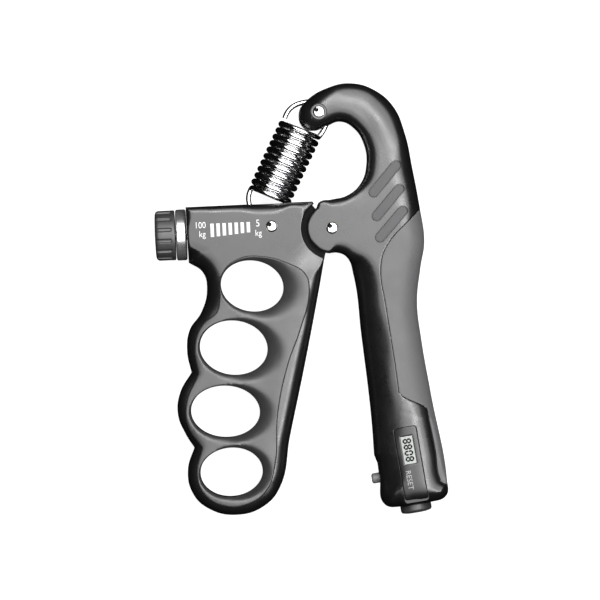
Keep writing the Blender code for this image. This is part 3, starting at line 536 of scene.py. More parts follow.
def carve(piece, operation, *cutters):
    """Cut, join or intersect with closed solids, which are then removed."""
    for cutter in cutters:
        modifier = piece.modifiers.new("carve", "BOOLEAN")
        modifier.operation = operation
        modifier.object = cutter
        modifier.solver = "MANIFOLD"
    bpy.context.view_layer.update()
    mesh = bpy.data.meshes.new_from_object(piece.evaluated_get(bpy.context.evaluated_depsgraph_get()))
    piece.modifiers.clear()
    piece.data = mesh
    for cutter in cutters:
        bpy.data.objects.remove(cutter, do_unlink=True)
    return piece


def twin(piece):
    other = piece.copy()
    other.data = piece.data.copy()
    SCENE.collection.objects.link(other)
    return other


def finish_piece(piece, name, material, body, nodes=(), sharp=32, flat=False):
    """Name a finished piece, shade it, and make it ride on its body in place of its CAD nodes."""
    piece.name = name
    piece.data.name = name
    piece.data.materials.clear()
    piece.data.materials.append(material)
    piece.data.polygons.foreach_set("material_index", [0] * len(piece.data.polygons))
    if flat:
        piece.data.shade_flat()
    else:
        piece.data.shade_smooth()
        piece.data.set_sharp_from_angle(angle=radians(sharp))
    if body:
        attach(piece, body)
    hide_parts(*nodes)
    return piece


def soften(points, radius, steps=4):
    """An open profile with each of its inner corners rounded."""
    points = [np.array(point, float) for point in points]
    soft = [points[0]]
    for before, corner, after in zip(points, points[1:], points[2:]):
        back, ahead = before - corner, after - corner
        cut = min(radius, np.linalg.norm(back) * 0.45, np.linalg.norm(ahead) * 0.45)
        start, end = corner + unit(back) * cut, corner + unit(ahead) * cut
        for i in range(steps + 1):
            t = i / steps
            soft.append(start * (1 - t) ** 2 + corner * 2 * t * (1 - t) + end * t**2)
    return [*soft, points[-1]]


def turned(profile, matrix, steps=64):
    """A closed solid turned about local Z from (radius, height) pairs in millimetres."""
    bm = bmesh.new()
    corners = [bm.verts.new((radius * MM, 0, height * MM)) for radius, height in profile]
    edges = [bm.edges.new(pair) for pair in zip(corners, corners[1:])]
    bmesh.ops.spin(
        bm, geom=[*corners, *edges], axis=(0, 0, 1), cent=(0, 0, 0), steps=steps, angle=tau, use_merge=True
    )
    bmesh.ops.remove_doubles(bm, verts=bm.verts, dist=1e-7)
    bmesh.ops.recalc_face_normals(bm, faces=bm.faces)
    bm.transform(matrix)
    return from_bmesh("turned", bm)


def ring_faces(rings, sides):
    """The faces of a closed solid whose vertices run ring by ring, ends included."""
    faces = [
        (r * sides + i, r * sides + (i + 1) % sides, (r + 1) * sides + (i + 1) % sides, (r + 1) * sides + i)
        for r in range(rings - 1)
        for i in range(sides)
    ]
    last = (rings - 1) * sides
    return [*faces, tuple(reversed(range(sides))), tuple(range(last, last + sides))]


def tube(name, path, radius, sides=18):
    """A closed round wire along points in millimetres."""
    path = np.array(path)
    radii = np.broadcast_to(radius, len(path))
    ahead = unit(np.gradient(path, axis=0))
    normal = unit(np.cross(ahead[0], (0.3, 0.2, 1.0)))
    vertices = []
    for point, direction, radius in zip(path, ahead, radii):
        normal = unit(normal - direction * (normal @ direction))
        side = np.cross(direction, normal)
        for i in range(sides):
            angle = tau * i / sides
            vertices.append((point + radius * (normal * cos(angle) + side * sin(angle))) * MM)
    return new_piece(name, [tuple(vertex) for vertex in vertices], ring_faces(len(path), sides))


def join(pieces):
    """Several solids as the separate bodies of one mesh."""
    bm = bmesh.new()
    for piece in pieces:
        piece.data.transform(piece.matrix_world)
        bm.from_mesh(piece.data)
        bpy.data.objects.remove(piece, do_unlink=True)
    return from_bmesh("joined", bm)


# Materials


class Shader:
    """A Principled material and short ways to add detail nodes to it."""

    def __init__(self, name, colour, roughness, metallic=0.0, specular=0.5):
        self.material = bpy.data.materials.new(name)
        self.material.use_nodes = True
        self.tree = self.material.node_tree
        self.shader = self.tree.nodes["Principled BSDF"]
        self.colour = colour
        self.roughness = roughness
        self.set("Base Color", (*colour, 1.0))
        self.set("Roughness", roughness)
        self.set("Metallic", metallic)
        self.set("Specular IOR Level", specular)
        self.set("IOR", 1.5)

    def set(self, socket, value):
        self.shader.inputs[socket].default_value = value

    def node(self, kind, settings=(), links=()):
        made = self.tree.nodes.new(kind)
        for key, value in dict(settings).items():
            if isinstance(key, str) and hasattr(made, key) and key not in made.inputs:
                setattr(made, key, value)
            else:
                made.inputs[key].default_value = value
        for socket, source in dict(links).items():
            self.tree.links.new(source, made.inputs[socket])
        return made

    def place(self, scale=(1, 1, 1)):
        """Object coordinates, stretched by a scale on each axis."""
        where = self.node("ShaderNodeTexCoord").outputs["Object"]
        return self.node("ShaderNodeMapping", {"Scale": scale}, {"Vector": where}).outputs["Vector"]

    def noise(self, size, detail=3.0, scale=(1, 1, 1)):
        """Noise whose grains are about size metres across."""
        settings = {"Scale": 1 / size, "Detail": detail}
        return self.node("ShaderNodeTexNoise", settings, {"Vector": self.place(scale)}).outputs["Fac"]

    def ramp(self, source, low, high, first, second):
        """first below low, second above high, as numbers."""
        settings = {"From Min": low, "From Max": high, "To Min": first, "To Max": second}
        return self.node("ShaderNodeMapRange", settings, {"Value": source}).outputs["Result"]

    def times(self, first, second):
        made = self.node("ShaderNodeMath", {"operation": "MULTIPLY"})
        self.tree.links.new(first, made.inputs[0])
        self.tree.links.new(second, made.inputs[1])
        return made.outputs[0]

    def tint(self, share, other):
        """The base colour mixed with another by a share that varies over the surface."""
        mix = self.node("ShaderNodeMix", {"data_type": "RGBA"})
        colours = [socket for socket in mix.inputs if socket.type == "RGBA"]
        colours[0].default_value = (*self.colour, 1.0)
        colours[1].default_value = (*other, 1.0)
        self.tree.links.new(share, mix.inputs[0])
        output = [socket for socket in mix.outputs if socket.type == "RGBA"][0]
        self.tree.links.new(output, self.shader.inputs["Base Color"])

    def rough(self, source, low, high):
        """Roughness from low to high over the middle of a noise."""
        self.tree.links.new(self.ramp(source, 0.3, 0.7, low, high), self.shader.inputs["Roughness"])

    def bump(self, source, depth, strength=1.0):
        """Relief added to any that the material has already."""
        normal = self.shader.inputs["Normal"]
        previous = [link.from_socket for link in self.tree.links if link.to_socket == normal]
        made = self.node("ShaderNodeBump", {"Distance": depth, "Strength": strength}, {"Height": source})
        if previous:
            self.tree.links.new(previous[0], made.inputs["Normal"])
        self.tree.links.new(made.outputs["Normal"], normal)

    def worn_edges(self, colour, strength=0.5):
        """A lighter tone where edges stick out."""
        edge = self.node("ShaderNodeNewGeometry").outputs["Pointiness"]
        share = self.times(self.ramp(edge, 0.54, 0.66, 0.0, strength), self.noise(0.002))
        self.tint(share, colour)


def moulded(name, colour, roughness, specular, grain=0.00035, depth=0.000012, wear=(0.2, 0.2, 0.2)):
    """Moulded plastic: a fine satin grain, faint flow marks and rubbed edges."""
    made = Shader(name, colour, roughness, specular=specular)
    made.rough(made.noise(0.006, 4.0), roughness - 0.035, roughness + 0.035)
    made.bump(made.noise(grain, 2.0), depth)
    made.bump(made.noise(0.018, 1.0), depth * 2)
    made.worn_edges(wear, 0.35)
    return made.material


def soft_rubber(name, colour, roughness=0.72, specular=0.4):
    """Soft overmoulded rubber: stippled, dull, a little dusty in patches."""
    made = Shader(name, colour, roughness, specular=specular)
    stipple = made.node(
        "ShaderNodeTexVoronoi", {"Scale": 2600.0, "Randomness": 0.8}, {"Vector": made.place()}
    ).outputs["Distance"]
    made.bump(stipple, 0.00002, 0.7)
    made.bump(made.noise(0.0011, 3.0), 0.00002, 0.6)
    made.rough(made.noise(0.008, 4.0), roughness - 0.06, roughness + 0.06)
    dusty = tuple(value * 1.3 for value in colour)
    made.tint(made.ramp(made.noise(0.012, 5.0), 0.35, 0.75, 0.0, 0.28), dusty)
    made.set("Sheen Weight", 0.08)
    made.set("Sheen Roughness", 0.5)
    return made.material


def bright_metal(name, colour, roughness, scratch, metallic=1.0):
    """Plated metal with faint scratches and smudges."""
    made = Shader(name, colour, roughness, metallic=metallic)
    made.rough(made.noise(0.004, 5.0), max(0.02, roughness - 0.03), roughness + 0.06)
    made.bump(made.noise(0.0004, 4.0), scratch)
    return made.material


def machined(name, colour, roughness=0.3, stretch=(1, 1, 8)):
    """Turned or stamped metal with fine tool marks."""
    made = Shader(name, colour, roughness, metallic=1.0)
    made.rough(made.noise(0.0009, 4.0, stretch), roughness - 0.08, roughness + 0.1)
    made.bump(made.noise(0.00025, 3.0, stretch), 0.000004)
    made.tint(made.ramp(made.noise(0.003, 4.0), 0.45, 0.8, 0.0, 0.5), tuple(value * 0.6 for value in colour))
    return made.material


def painted(name, colour, roughness, specular=0.5):
    """Pad-printed ink, thin in places."""
    made = Shader(name, colour, roughness, specular=specular)
    made.rough(made.noise(0.0006), roughness - 0.08, roughness + 0.08)
    thin = tuple(value * 0.7 for value in colour)
    made.tint(made.ramp(made.noise(0.0004, 4.0), 0.6, 0.85, 0.0, 0.25), thin)
    return made.material


def circuit_board():
    """Green solder mask with pale tracks."""
    made = Shader("board_green", (0.02, 0.12, 0.05), 0.35)
    tracks = made.node("ShaderNodeTexBrick", {"Scale": 400.0}, {"Vector": made.place()}).outputs["Fac"]
    made.tint(made.ramp(tracks, 0.4, 0.6, 0.0, 0.5), (0.1, 0.35, 0.12))
    made.bump(tracks, 0.00002)
    return made.material


def liquid_crystal():
    """The display's grey-green reflective ground under its clear cover."""
    made = Shader("display_grey", (0.43, 0.45, 0.43), 0.28)
    made.tint(made.ramp(made.noise(0.003, 2.0), 0.3, 0.8, 0.0, 0.4), (0.35, 0.37, 0.35))
    made.rough(made.noise(0.001), 0.22, 0.34)
    made.set("Coat Weight", 0.6)
    made.set("Coat Roughness", 0.05)
    return made.material


RUBBED = (0.02, 0.02, 0.02)
CASING = moulded("casing_plastic", (0.007, 0.007, 0.0073), 0.29, 1.0, depth=0.000006, wear=RUBBED)
KNOB = moulded("knob_plastic", (0.045, 0.045, 0.047), 0.46, 1.0, wear=(0.10, 0.10, 0.10))
NUB = moulded("nub_plastic", (0.16, 0.16, 0.165), 0.5, 0.6)
# Black plastic for the switches; the same material also paints shade on the finger handle's tongue and in the
# pin dimples.
BLACK_AND_PAINTED_SHADE = moulded("black_plastic", (0.008, 0.008, 0.008), 0.55, 0.15, wear=RUBBED)
PLATE = moulded("plate_plastic", (0.006, 0.006, 0.0063), 0.32, 0.75, grain=0.0009, wear=RUBBED)
RUBBER = soft_rubber("soft_rubber", (0.128, 0.128, 0.131), 0.6, 0.65)
SCOOPED = soft_rubber("scooped_rubber", (0.032, 0.032, 0.033), 0.42, 1.0)
INLAY = soft_rubber("inlay_rubber", (0.115, 0.115, 0.118))
CHROME = bright_metal("chrome", (0.90, 0.90, 0.91), 0.12, 0.0000003)
POLISHED = bright_metal("polished_collar", (0.85, 0.85, 0.86), 0.26, 0.000001, metallic=0.88)
STEEL = machined("machined_steel", (0.55, 0.55, 0.56))
DARK_STEEL = machined("blackened_steel", (0.10, 0.10, 0.10), 0.4)
BRASS = machined("machined_brass", (0.70, 0.50, 0.22))
PRINT = painted("white_print", (0.86, 0.86, 0.86), 0.5)
FAINT_PRINT = painted("grey_print", (0.40, 0.40, 0.40), 0.5)
INK = painted("display_ink", (0.008, 0.008, 0.008), 0.7, 0.1)
DISPLAY = liquid_crystal()
BOARD = circuit_board()


# Finger handle


def finger_outline():
    gap = arc(PIVOT, LUG_GAP_RADIUS, 256, 127, 40)
    top_right = (*barrel_point(-7.2, BARREL_TOP), "corner")
    top_left = (*barrel_point(BARREL_END, BARREL_TOP), "corner")
    return outline([*FINGER_GRIP, *gap, top_right, top_left], longest=0.7)


def dish_depth(points):
    """How deep the hollows round the finger holes are. They fall away most on their palm side."""
    depth = np.zeros(len(points))
    for hole, dish in zip(FINGER_HOLES, DISHES):
        hole_share = ellipse_share(points, *hole)
        dish_share = ellipse_share(points, *dish)
        fall = np.clip(1 - dish_share, 0, None)
        rise = np.clip(hole_share - 1, 1e-3, None)
        share = fall / (fall + rise)
        side = unit(points - np.array(hole[0]))[:, 0]
        deepest = 1.1 + 2.3 * smoothstep((side + 0.15) / 0.9)
        depth = np.maximum(depth, deepest * share**1.55)
    return depth


FINGER_LOOP = finger_outline()
PAD_LOOP = outline(FINGER_PAD, longest=0.7)
HOLE_LOOPS = [ellipse(*hole) for hole in FINGER_HOLES]
finger_reach = spread(FINGER_REACH)
finger_crown = spread(FINGER_CROWN)


def finger_height(points):
    """Height of the finger handle's face above the middle plane, before the pads."""
    reach = finger_reach(points)
    gap = edge_distance(points, FINGER_LOOP)
    crown = finger_crown(points) * np.clip(1 - gap / CROWN_REACH, 0, 1) ** 2
    return HALF - rounding(gap, reach, RIM_DROP * reach) - crown


def finger_body():
    """The two casings of the finger handle as one solid, with seats for the pads and the tongue."""
    ledge = grown(PAD_LOOP, 0.12)
    foot = grown(PAD_LOOP, 0.10)

    def face(points):
        height = finger_height(points)
        seat = inside(points, grown(PAD_LOOP, 0.11))
        return height - seat * (dish_depth(points) + PAD_THICKNESS + 0.1)

    region = [FINGER_LOOP, *HOLE_LOOPS]
    rows = rim_rows(FINGER_LOOP, finger_reach, region)
    rows = rows[edge_distance(rows, ledge) > 0.1]
    extra = np.concatenate((rows, filling([PAD_LOOP, *HOLE_LOOPS], 2.6, 0.6)))
    body = lifted("finger_body", region, extra, level(face, 1), level(face, -1), (ledge, foot))
    tongue = upright(TONGUE_RADIUS, HALF - TONGUE_HALF, HALF + TONGUE_HALF, PIVOT, 64)
    beside = raised(PIVOT, HALF) @ Matrix.Rotation(radians(197), 4, "Z") @ raised((7.0, 0))
    neck = block((14.0, 16.0, 2 * TONGUE_HALF - 0.02), beside)
    web = [*arc(PIVOT, LUG_GAP_RADIUS + 0.4, 255.5, 131, 40), *arc(PIVOT, 8.0, 131, 255.5, 40)]
    web = plate(planar(web), HALF - TONGUE_HALF + 0.02, HALF + TONGUE_HALF - 0.02)
    carve(body, "UNION", tongue, neck, web)
    profile = [(-53, 14), (-11, 14), (-11.6, 10), (-15.5, 3.8), (-19.8, 3.8), (-19.8, -4.5), (-53, -4.5)]
    trough = plate(np.array([barrel_point(u, v) for u, v in profile]), HALF - TROUGH_HALF, HALF + TROUGH_HALF)
    screw_hole = bar(2.4, -60, -50, barrel_matrix())
    pin_hole = upright(STOP_PIN_RADIUS + PARTING, -1, 25, barrel_point(*STOP_PIN))
    bush_hole = upright(BUSH_RADIUS + PARTING, -1, 25, PIVOT)
    return carve(body, "DIFFERENCE", trough, screw_hole, pin_hole, bush_hole)


def half_space(front):
    """A block that keeps the front or the rear half of a handle."""
    low, high = (HALF + PARTING, 30) if front else (-6, HALF - PARTING)
    return block((200, 240, high - low), Matrix.Translation((0, 0, (low + high) / 2 * MM)))


def screw_bores(centres):
    """Counterbores and clearance holes in a rear casing."""
    bores = []
    for centre in centres:
        bores.append(upright(SCREW_HEAD_BORE, -1, 5, centre))
        bores.append(upright(SCREW_BORE, 4, 12.5, centre, 24))
    return bores


def screw_holes(centres):
    """The holes in a front casing for the ends of the screws."""
    return [upright(SCREW_BORE, 11, 17.4, centre, 24) for centre in centres]


def build_finger_casings():
    body = finger_body()
    for side in ("front", "rear"):
        casing = twin(body)
        carve(casing, "INTERSECT", half_space(side == "front"))
        if side == "rear":
            carve(casing, "DIFFERENCE", *screw_bores(FINGER_SCREWS))
        else:
            carve(casing, "DIFFERENCE", *screw_holes(FINGER_SCREWS))
        node = f"finger_casing_{side}"
        finish_piece(casing, f"finger_shell_{side}", CASING, "finger_handle", [node])
        # Painted shade: the tongue and its web, deep in the palm handle's fork, take the dull black material.
        casing.data.materials.append(BLACK_AND_PAINTED_SHADE)
        for face in casing.data.polygons:
            spot = face.center / MM
            near = np.hypot(*(np.array(spot[:2]) - PIVOT)) < LUG_GAP_RADIUS + 0.3
            face.material_index = int(near and abs(spot.z - HALF) < TONGUE_HALF + 0.1)
    bpy.data.objects.remove(body, do_unlink=True)


def pad_face(points, proud):
    """Height of a finger pad's face above the middle plane, rolled over at its edges."""
    height = finger_height(points) + proud - dish_depth(points)
    height -= rounding(edge_distance(points, PAD_LOOP), 0.5, 0.42)
    for loop in HOLE_LOOPS:
        height -= rounding(edge_distance(points, loop), 0.6, 0.5)
    return height


def pad_back(points):
    return finger_height(points) - dish_depth(points) - PAD_THICKNESS


def build_finger_pads():
    """The soft pads, with a rolled edge and a hollow at each finger hole."""
    region = [PAD_LOOP, *HOLE_LOOPS]
    rows = rim_rows(PAD_LOOP, even(0.5), region)
    hole_rows = [grown(loop, gap) for loop in HOLE_LOOPS for gap in (0.05, 0.2, 0.45, 0.8, 1.3)]
    hole_rows = np.concatenate(hole_rows)
    hole_rows = hole_rows[inside(hole_rows, *region) & (edge_distance(hole_rows, PAD_LOOP) > 0.5)]
    extra = np.concatenate((rows, hole_rows, filling(region, 1.15, 1.0)))
    for side, proud in (("front", 0.22), ("rear", 0.0)):
        name = f"finger_grip_{side}"
        pad = layer(name, side, region, extra, partial(pad_face, proud=proud), pad_back)
        if side == "rear":
            bores = [upright(SCREW_PAD_BORE, -3, 8, centre) for centre in FINGER_SCREWS[1:]]
            carve(pad, "DIFFERENCE", *bores)
        node = f"finger_pad_{side}"
        finish_piece(pad, name, SCOOPED, "finger_handle", [node], sharp=48)


# Palm handle


PALM_LOOP = outline([*PALM_OUTER, *arc(PIVOT, LUG_RADIUS, 262, 128, 30), *HOOK_INNER], longest=0.7)
palm_reach = spread(PALM_REACH)
palm_crown = spread(PALM_CROWN)
PAD_RIM = outline(PALM_PAD, longest=0.7)


def palm_height(points):
    """Height of the palm handle's face. Low down, the casing rounds off early into a strip of the pad."""
    reach = palm_reach(points)
    gap = edge_distance(points, PALM_LOOP)
    drop = rounding(gap, reach, RIM_DROP * np.minimum(reach, 9.5))
    drop += palm_crown(points) * np.clip(1 - gap / CROWN_REACH, 0, 1) ** 2
    rim_gap = edge_distance(points, PAD_RIM)
    rim_gap_in_casing = np.where(inside(points, PAD_RIM), 0.0, rim_gap)
    low_down = smoothstep((-40.0 - points[:, 1]) / 7.0)
    drop = np.maximum(drop, low_down * rounding(rim_gap_in_casing, STRIP_REACH, STRIP_DROP))
    return HALF - drop - rounding(rim_gap, RIM_GROOVE, RIM_GROOVE)


def palm_body():
    """The palm handle as one solid, with seats for the inlays, its fork, hook slot and pin holes."""
    seats = [stadium(*inlay, INLAY_RADIUS + 0.24) for inlay in INLAYS]
    feet = [stadium(*inlay, INLAY_RADIUS + 0.20) for inlay in INLAYS]

    def face(points):
        height = palm_height(points)
        for inlay in INLAYS:
            height -= INLAY_DEPTH * inside(points, stadium(*inlay, INLAY_RADIUS + 0.22))
        return height

    rows = rim_rows(PALM_LOOP, palm_reach, [PALM_LOOP])
    beside_rim = [grown(PAD_RIM, gap) for gap in (-0.8, -0.4, -0.2, 0.0, 0.2, 0.4, 0.8, 1.4, 2.1, 3.0, 4.0)]
    beside_rim = np.concatenate(beside_rim)
    beside_rim = beside_rim[inside(beside_rim, PALM_LOOP) & (edge_distance(beside_rim, PALM_LOOP) > 0.15)]
    extra = thinned(np.concatenate((beside_rim, rows, filling([PALM_LOOP], 2.0, 3.0))), 0.12)
    for seat in (*seats, *feet):
        extra = extra[edge_distance(extra, seat) > 0.08]
    body = lifted("palm_body", [PALM_LOOP], extra, level(face, 1), level(face, -1), (*seats, *feet))
    fork = upright(TONGUE_RADIUS + 0.4, HALF - SLOT_HALF, HALF + SLOT_HALF, PIVOT, 64)
    mouth = planar([PIVOT, *arc(PIVOT, 14, 280, 125, 24)])
    mouth = plate(mouth, HALF - SLOT_HALF, HALF + SLOT_HALF)
    slot = block((20, 40, 3.4), raised((3.2, 76), HALF))
    holes = [
        upright(HOOK_PIN_RADIUS + PARTING, -1, 25, HOOK_PIN),
        upright(PIVOT_PIN_RADIUS + PARTING, -1, 25, PIVOT),
        upright(3.2, -1, 1.6, HOOK_PIN),
        upright(3.2, FACE - 1.6, 25, HOOK_PIN),
    ]
    return carve(body, "DIFFERENCE", fork, mouth, slot, *holes)


def pad_region(grow):
    """The palm pad's space: beyond its rim line, less the casing's core."""
    region = plate(grown(PAD_RIM, grow), -2, 26)
    core = outline(PALM_CORE, longest=1.0)
    low = 5.0 + grow
    return carve(region, "DIFFERENCE", plate(grown(core, -grow), low, FACE - low))


# Counter


def plate_loop(grow=0.0):
    return rounded_box(PLATE_WIDTH + 2 * grow, PLATE_LENGTH + 2 * grow, 1.0 + grow, 0.0)


def counter_bay():
    """Cutters for the counter's electronics, trigger and reset button."""
    turn = Matrix.Rotation(HANDLE_TILT, 4, "Z")

    def at(s, t, z):
        return raised(handle_point(s, t), z) @ turn

    across = trigger_matrix()
    down = reset_matrix()
    cutters = [
        block((13.4, 25.6, 17.4), at(-2.2, 0, 12.6)),
        bar(PLUNGER_RADIUS + PARTING, -20, -5, across),
        bar(PLUNGER_FLANGE + 0.4, -11.2, -5, across),
        bar(RESET_RADIUS + PARTING, 5, 20, down),
        bar(7.2, 9.0, 12.9, down),
    ]
    shaft = block((7.6, 12.8, 8), at(WINDOW_S, 0, 20))
    return cutters, shaft


def build_palm_casings():
    body = palm_body()
    pad = twin(body)
    carve(pad, "INTERSECT", pad_region(-PAD_GAP))
    finish_piece(pad, "palm_grip", RUBBER, "palm_handle", ["palm_pad"], sharp=40)
    carve(body, "DIFFERENCE", pad_region(PAD_GAP))
    for side in ("front", "rear"):
        casing = twin(body)
        carve(casing, "INTERSECT", half_space(side == "front"))
        cutters, shaft = counter_bay()
        if side == "front":
            recess = plate(plate_loop(0.12), 22.2, 26)
            carve(casing, "DIFFERENCE", *cutters, shaft, recess)
            carve(casing, "DIFFERENCE", *screw_holes(PALM_SCREWS))
        else:
            bpy.data.objects.remove(shaft, do_unlink=True)
            carve(casing, "DIFFERENCE", *cutters, *screw_bores(PALM_SCREWS))
        node = f"palm_casing_{side}"
        finish_piece(casing, f"palm_shell_{side}", CASING, "palm_handle", [node])
    bpy.data.objects.remove(body, do_unlink=True)


def inlay_face(points, loop):
    return palm_height(points) - 0.3 - rounding(edge_distance(points, loop), 0.9, 0.45)


def inlay_back(points):
    return palm_height(points) - INLAY_DEPTH + 0.08


def build_inlays():
    """Soft strips, set a little below the face."""
    for side in ("front", "rear"):
        for number, inlay in enumerate(INLAYS, 1):
            loop = stadium(*inlay, INLAY_RADIUS)
            extra = np.concatenate((rim_rows(loop, even(0.9), [loop]), filling([loop], 1.0, 0.9)))
            name = f"grip_strip_{side}_{number}"
            strip = layer(name, side, [loop], extra, partial(inlay_face, loop=loop), inlay_back)
            node = f"grip_inlay_{side}_{number}"
            finish_piece(strip, name, INLAY, "palm_handle", [node], sharp=45)


def above_palm(rise):
    """The height that lies a little above or below the palm handle's front face."""
    return lambda points: HALF + palm_height(points) + rise


def build_face_plate():
    """The counter's plate follows the casing's curve and frames the display."""
    window = rounded_box(WINDOW_WIDTH, WINDOW_LENGTH, 0.15, WINDOW_S)
    loop = plate_loop()
    rows = rim_rows(loop, even(0.45), [loop, window])
    frame_rows = np.concatenate([grown(window, gap) for gap in (0.1, 0.3, 0.6)])
    extra = np.concatenate((rows, frame_rows, filling([loop, window], 1.0, 0.7)))

    def face(points):
        height = HALF + palm_height(points) - 0.04
        height -= rounding(edge_distance(points, loop), 0.45, 0.3)
        return height - rounding(edge_distance(points, window), 0.4, 0.35)

    made = lifted("counter_bezel", [loop, window], extra, face, even(22.5))
    node = "counter_face_plate"
    finish_piece(made, "counter_bezel", PLATE, "palm_handle", [node], sharp=40)

    glass = rounded_box(WINDOW_WIDTH - 0.1, WINDOW_LENGTH - 0.1, 0.12, WINDOW_S)
    cover = lifted("display_panel", [glass], filling([glass], 1.0, 0.3), above_palm(-0.55), even(21.0))
    finish_piece(cover, "display_panel", DISPLAY, "palm_handle", ["counter_display"], sharp=40)


def build_digits():
    """Seven-bar digits that read down the handle."""
    width, height, tip = 0.68, 1.40, 0.32
    first, pitch = WINDOW_S - 3.5, 2.34
    segments = {  # centre of each bar, in halves of the digit's width and height, and whether it stands
        "top": (0, 1, False), "middle": (0, 0, False), "bottom": (0, -1, False),
        "upper_left": (-1, 0.5, True), "upper_right": (1, 0.5, True),
        "lower_left": (-1, -0.5, True), "lower_right": (1, -0.5, True),
    }
    unlit = {"8": (), "0": ("middle",)}
    bars = []
    for place, digit in enumerate("8808"):
        for name, (x, y, standing) in segments.items():
            if name in unlit[digit]:
                continue
            end = ((height if standing else 2 * width) - 0.08) / 2
            corners = [(tip - end, -tip), (end - tip, -tip), (end, 0)]
            corners += [(-along, -across) for along, across in corners]
            if standing:
                corners = [(across, along) for along, across in corners]
            s = first + pitch * place + x * width
            loop = np.array([handle_point(s + along, y * height + across) for along, across in corners])
            bars.append(lifted("bar", [loop], [], above_palm(-0.44), above_palm(-0.60)))
    finish_piece(join(bars), "display_digits", INK, "palm_handle", flat=True)


# Print


def lettering(text, size, matrix, lift, thickness=0.03, spacing=1.0, wide=1.0):
    """A word as raised ink, its middle at the matrix, which lies on the face."""
    curve = bpy.data.curves.new("print", "FONT")
    curve.body = text
    curve.size = size * MM
    curve.align_x = "CENTER"
    curve.align_y = "CENTER"
    curve.space_character = spacing
    curve.extrude = thickness * MM / 2
    curve.resolution_u = 4
    source = bpy.data.objects.new("print", curve)
    SCENE.collection.objects.link(source)
    bpy.context.view_layer.update()
    mesh = bpy.data.meshes.new_from_object(source.evaluated_get(bpy.context.evaluated_depsgraph_get()))
    bpy.data.objects.remove(source, do_unlink=True)
    bm = bmesh.new()
    bm.from_mesh(mesh)
    bmesh.ops.remove_doubles(bm, verts=bm.verts, dist=1e-7)
    bm.transform(matrix @ Matrix.Translation((0, 0, lift * MM)) @ Matrix.Diagonal((wide, 1, 1, 1)))
    return from_bmesh("print", bm)


def build_scale():
    """The strength scale on the barrel: seven bars between its two end values."""
    count, first, pitch, width = 7, -46.6, 2.35, 1.32
    top, first_foot, rise = 3.73, -1.45, 1.17
    pieces = []
    for i in range(count):
        foot = first_foot + rise * i / (count - 1)
        middle = barrel_point(first + pitch * i, (foot + top) / 2)
        place = face_matrix(middle, BARREL_TILT, FACE + 0.02)
        pieces.append(block((width, top - foot, 0.04), place))
    words = (
        ("100", 3.5, (-51.2, 3.2)),
        ("kg", 3.4, (-50.5, -0.3)),
        ("5", 3.8, (-28.8, 3.0)),
        ("kg", 3.4, (-28.7, -0.8)),
    )
    for text, size, spot in words:
        place = face_matrix(barrel_point(*spot), BARREL_TILT, FACE)
        pieces.append(lettering(text, size, place, 0.02, wide=0.86))
    finish_piece(join(pieces), "scale_print", PRINT, "finger_handle", flat=True)
    reset = face_matrix(handle_point(5.9, -1.6), HANDLE_TILT - pi / 2, FACE)
    made = lettering("RESET", 2.9, reset, -0.02, thickness=0.06, spacing=1.05, wide=0.95)
    finish_piece(made, "reset_print", FAINT_PRINT, "palm_handle", flat=True)


# Barrel fittings


def build_collar():
    """The polished ring between the barrel and the knob."""
    profile = soften(
        [(5.3, -60.9), (9.4, -60.9), (9.95, -60.5), (9.95, -57.3), (9.6, -56.85), (2.35, -56.85)], 0.3
    )
    profile = [(2.35, -60.0), (5.3, -60.0), *profile, (2.35, -60.0)]
    made = turned(profile, barrel_matrix(), 96)
    finish_piece(made, "barrel_collar", POLISHED, "finger_handle", ["barrel_end_collar"], sharp=30)


def barrel_vertex(radius, angle, height):
    """A vertex at an angle round the barrel's axis."""
    return barrel_matrix() @ Vector((radius * MM * cos(angle), radius * MM * sin(angle), height * MM))


def build_knob():
    """The ridged adjuster knob: U-shaped flutes run from its crowned end most of the way in."""
    radius, outer, inner = 9.75, -69.1, -61.2
    flutes, half_width, depth = 14, 0.82, 0.62
    steps = flutes * 28
    stations = [
        (radius - 0.5, inner), (radius - 0.12, inner - 0.12), (radius, inner - 0.5), (radius, inner - 1.1),
        (radius, inner - 1.3), (radius, inner - 1.6), (radius, inner - 1.9), (radius, inner - 2.3),
        (radius, -66.0), (radius, -67.4), (radius - 0.12, -68.0), (radius - 0.45, -68.5),
        (radius - 0.95, -68.8), (radius - 1.5, -68.93), (radius - 2.6, -69.0), (4.0, outer),
    ]
    vertices = []
    for ring, height in stations:
        reach_in = np.clip((inner - 1.2 - height) / 0.9, 0, 1)
        for i in range(steps):
            angle = tau * i / steps
            across = (((i + 0.5 * steps / flutes) / steps * flutes) % 1 - 0.5) * tau * radius / flutes
            # The flute's inner end is a half circle, so that it narrows as it stops.
            width = half_width * (1 - (1 - reach_in) ** 2) ** 0.5
            groove = 0.0
            if width > 0 and abs(across) < width:
                groove = depth * (1 - (across / width) ** 4) * (1 if ring > 7.5 else 0)
            vertices.append(barrel_vertex(ring - groove, angle, height))
    faces = [tuple(reversed(face)) for face in ring_faces(len(stations), steps)]
    knob = new_piece("knob", vertices, faces)
    carve(knob, "DIFFERENCE", bar(3.9, -66.5, -60, barrel_matrix(), 6))
    finish_piece(knob, "adjuster_grip", KNOB, "adjuster", ["adjuster_knob"], sharp=28)


def pin_profile(radius, head):
    """A pin with slightly domed round heads, flush with both faces."""
    high, dome = FACE - 0.02, 0.34
    upper = [(head * share, high - dome * share**4) for share in (0, 0.4, 0.6, 0.75, 0.85, 0.93)]
    upper += [(head, high - 1.5 * dome), (head, high - 0.7), (radius, high - 0.7)]
    return [*upper, *[(r, FACE - h) for r, h in reversed(upper)]]


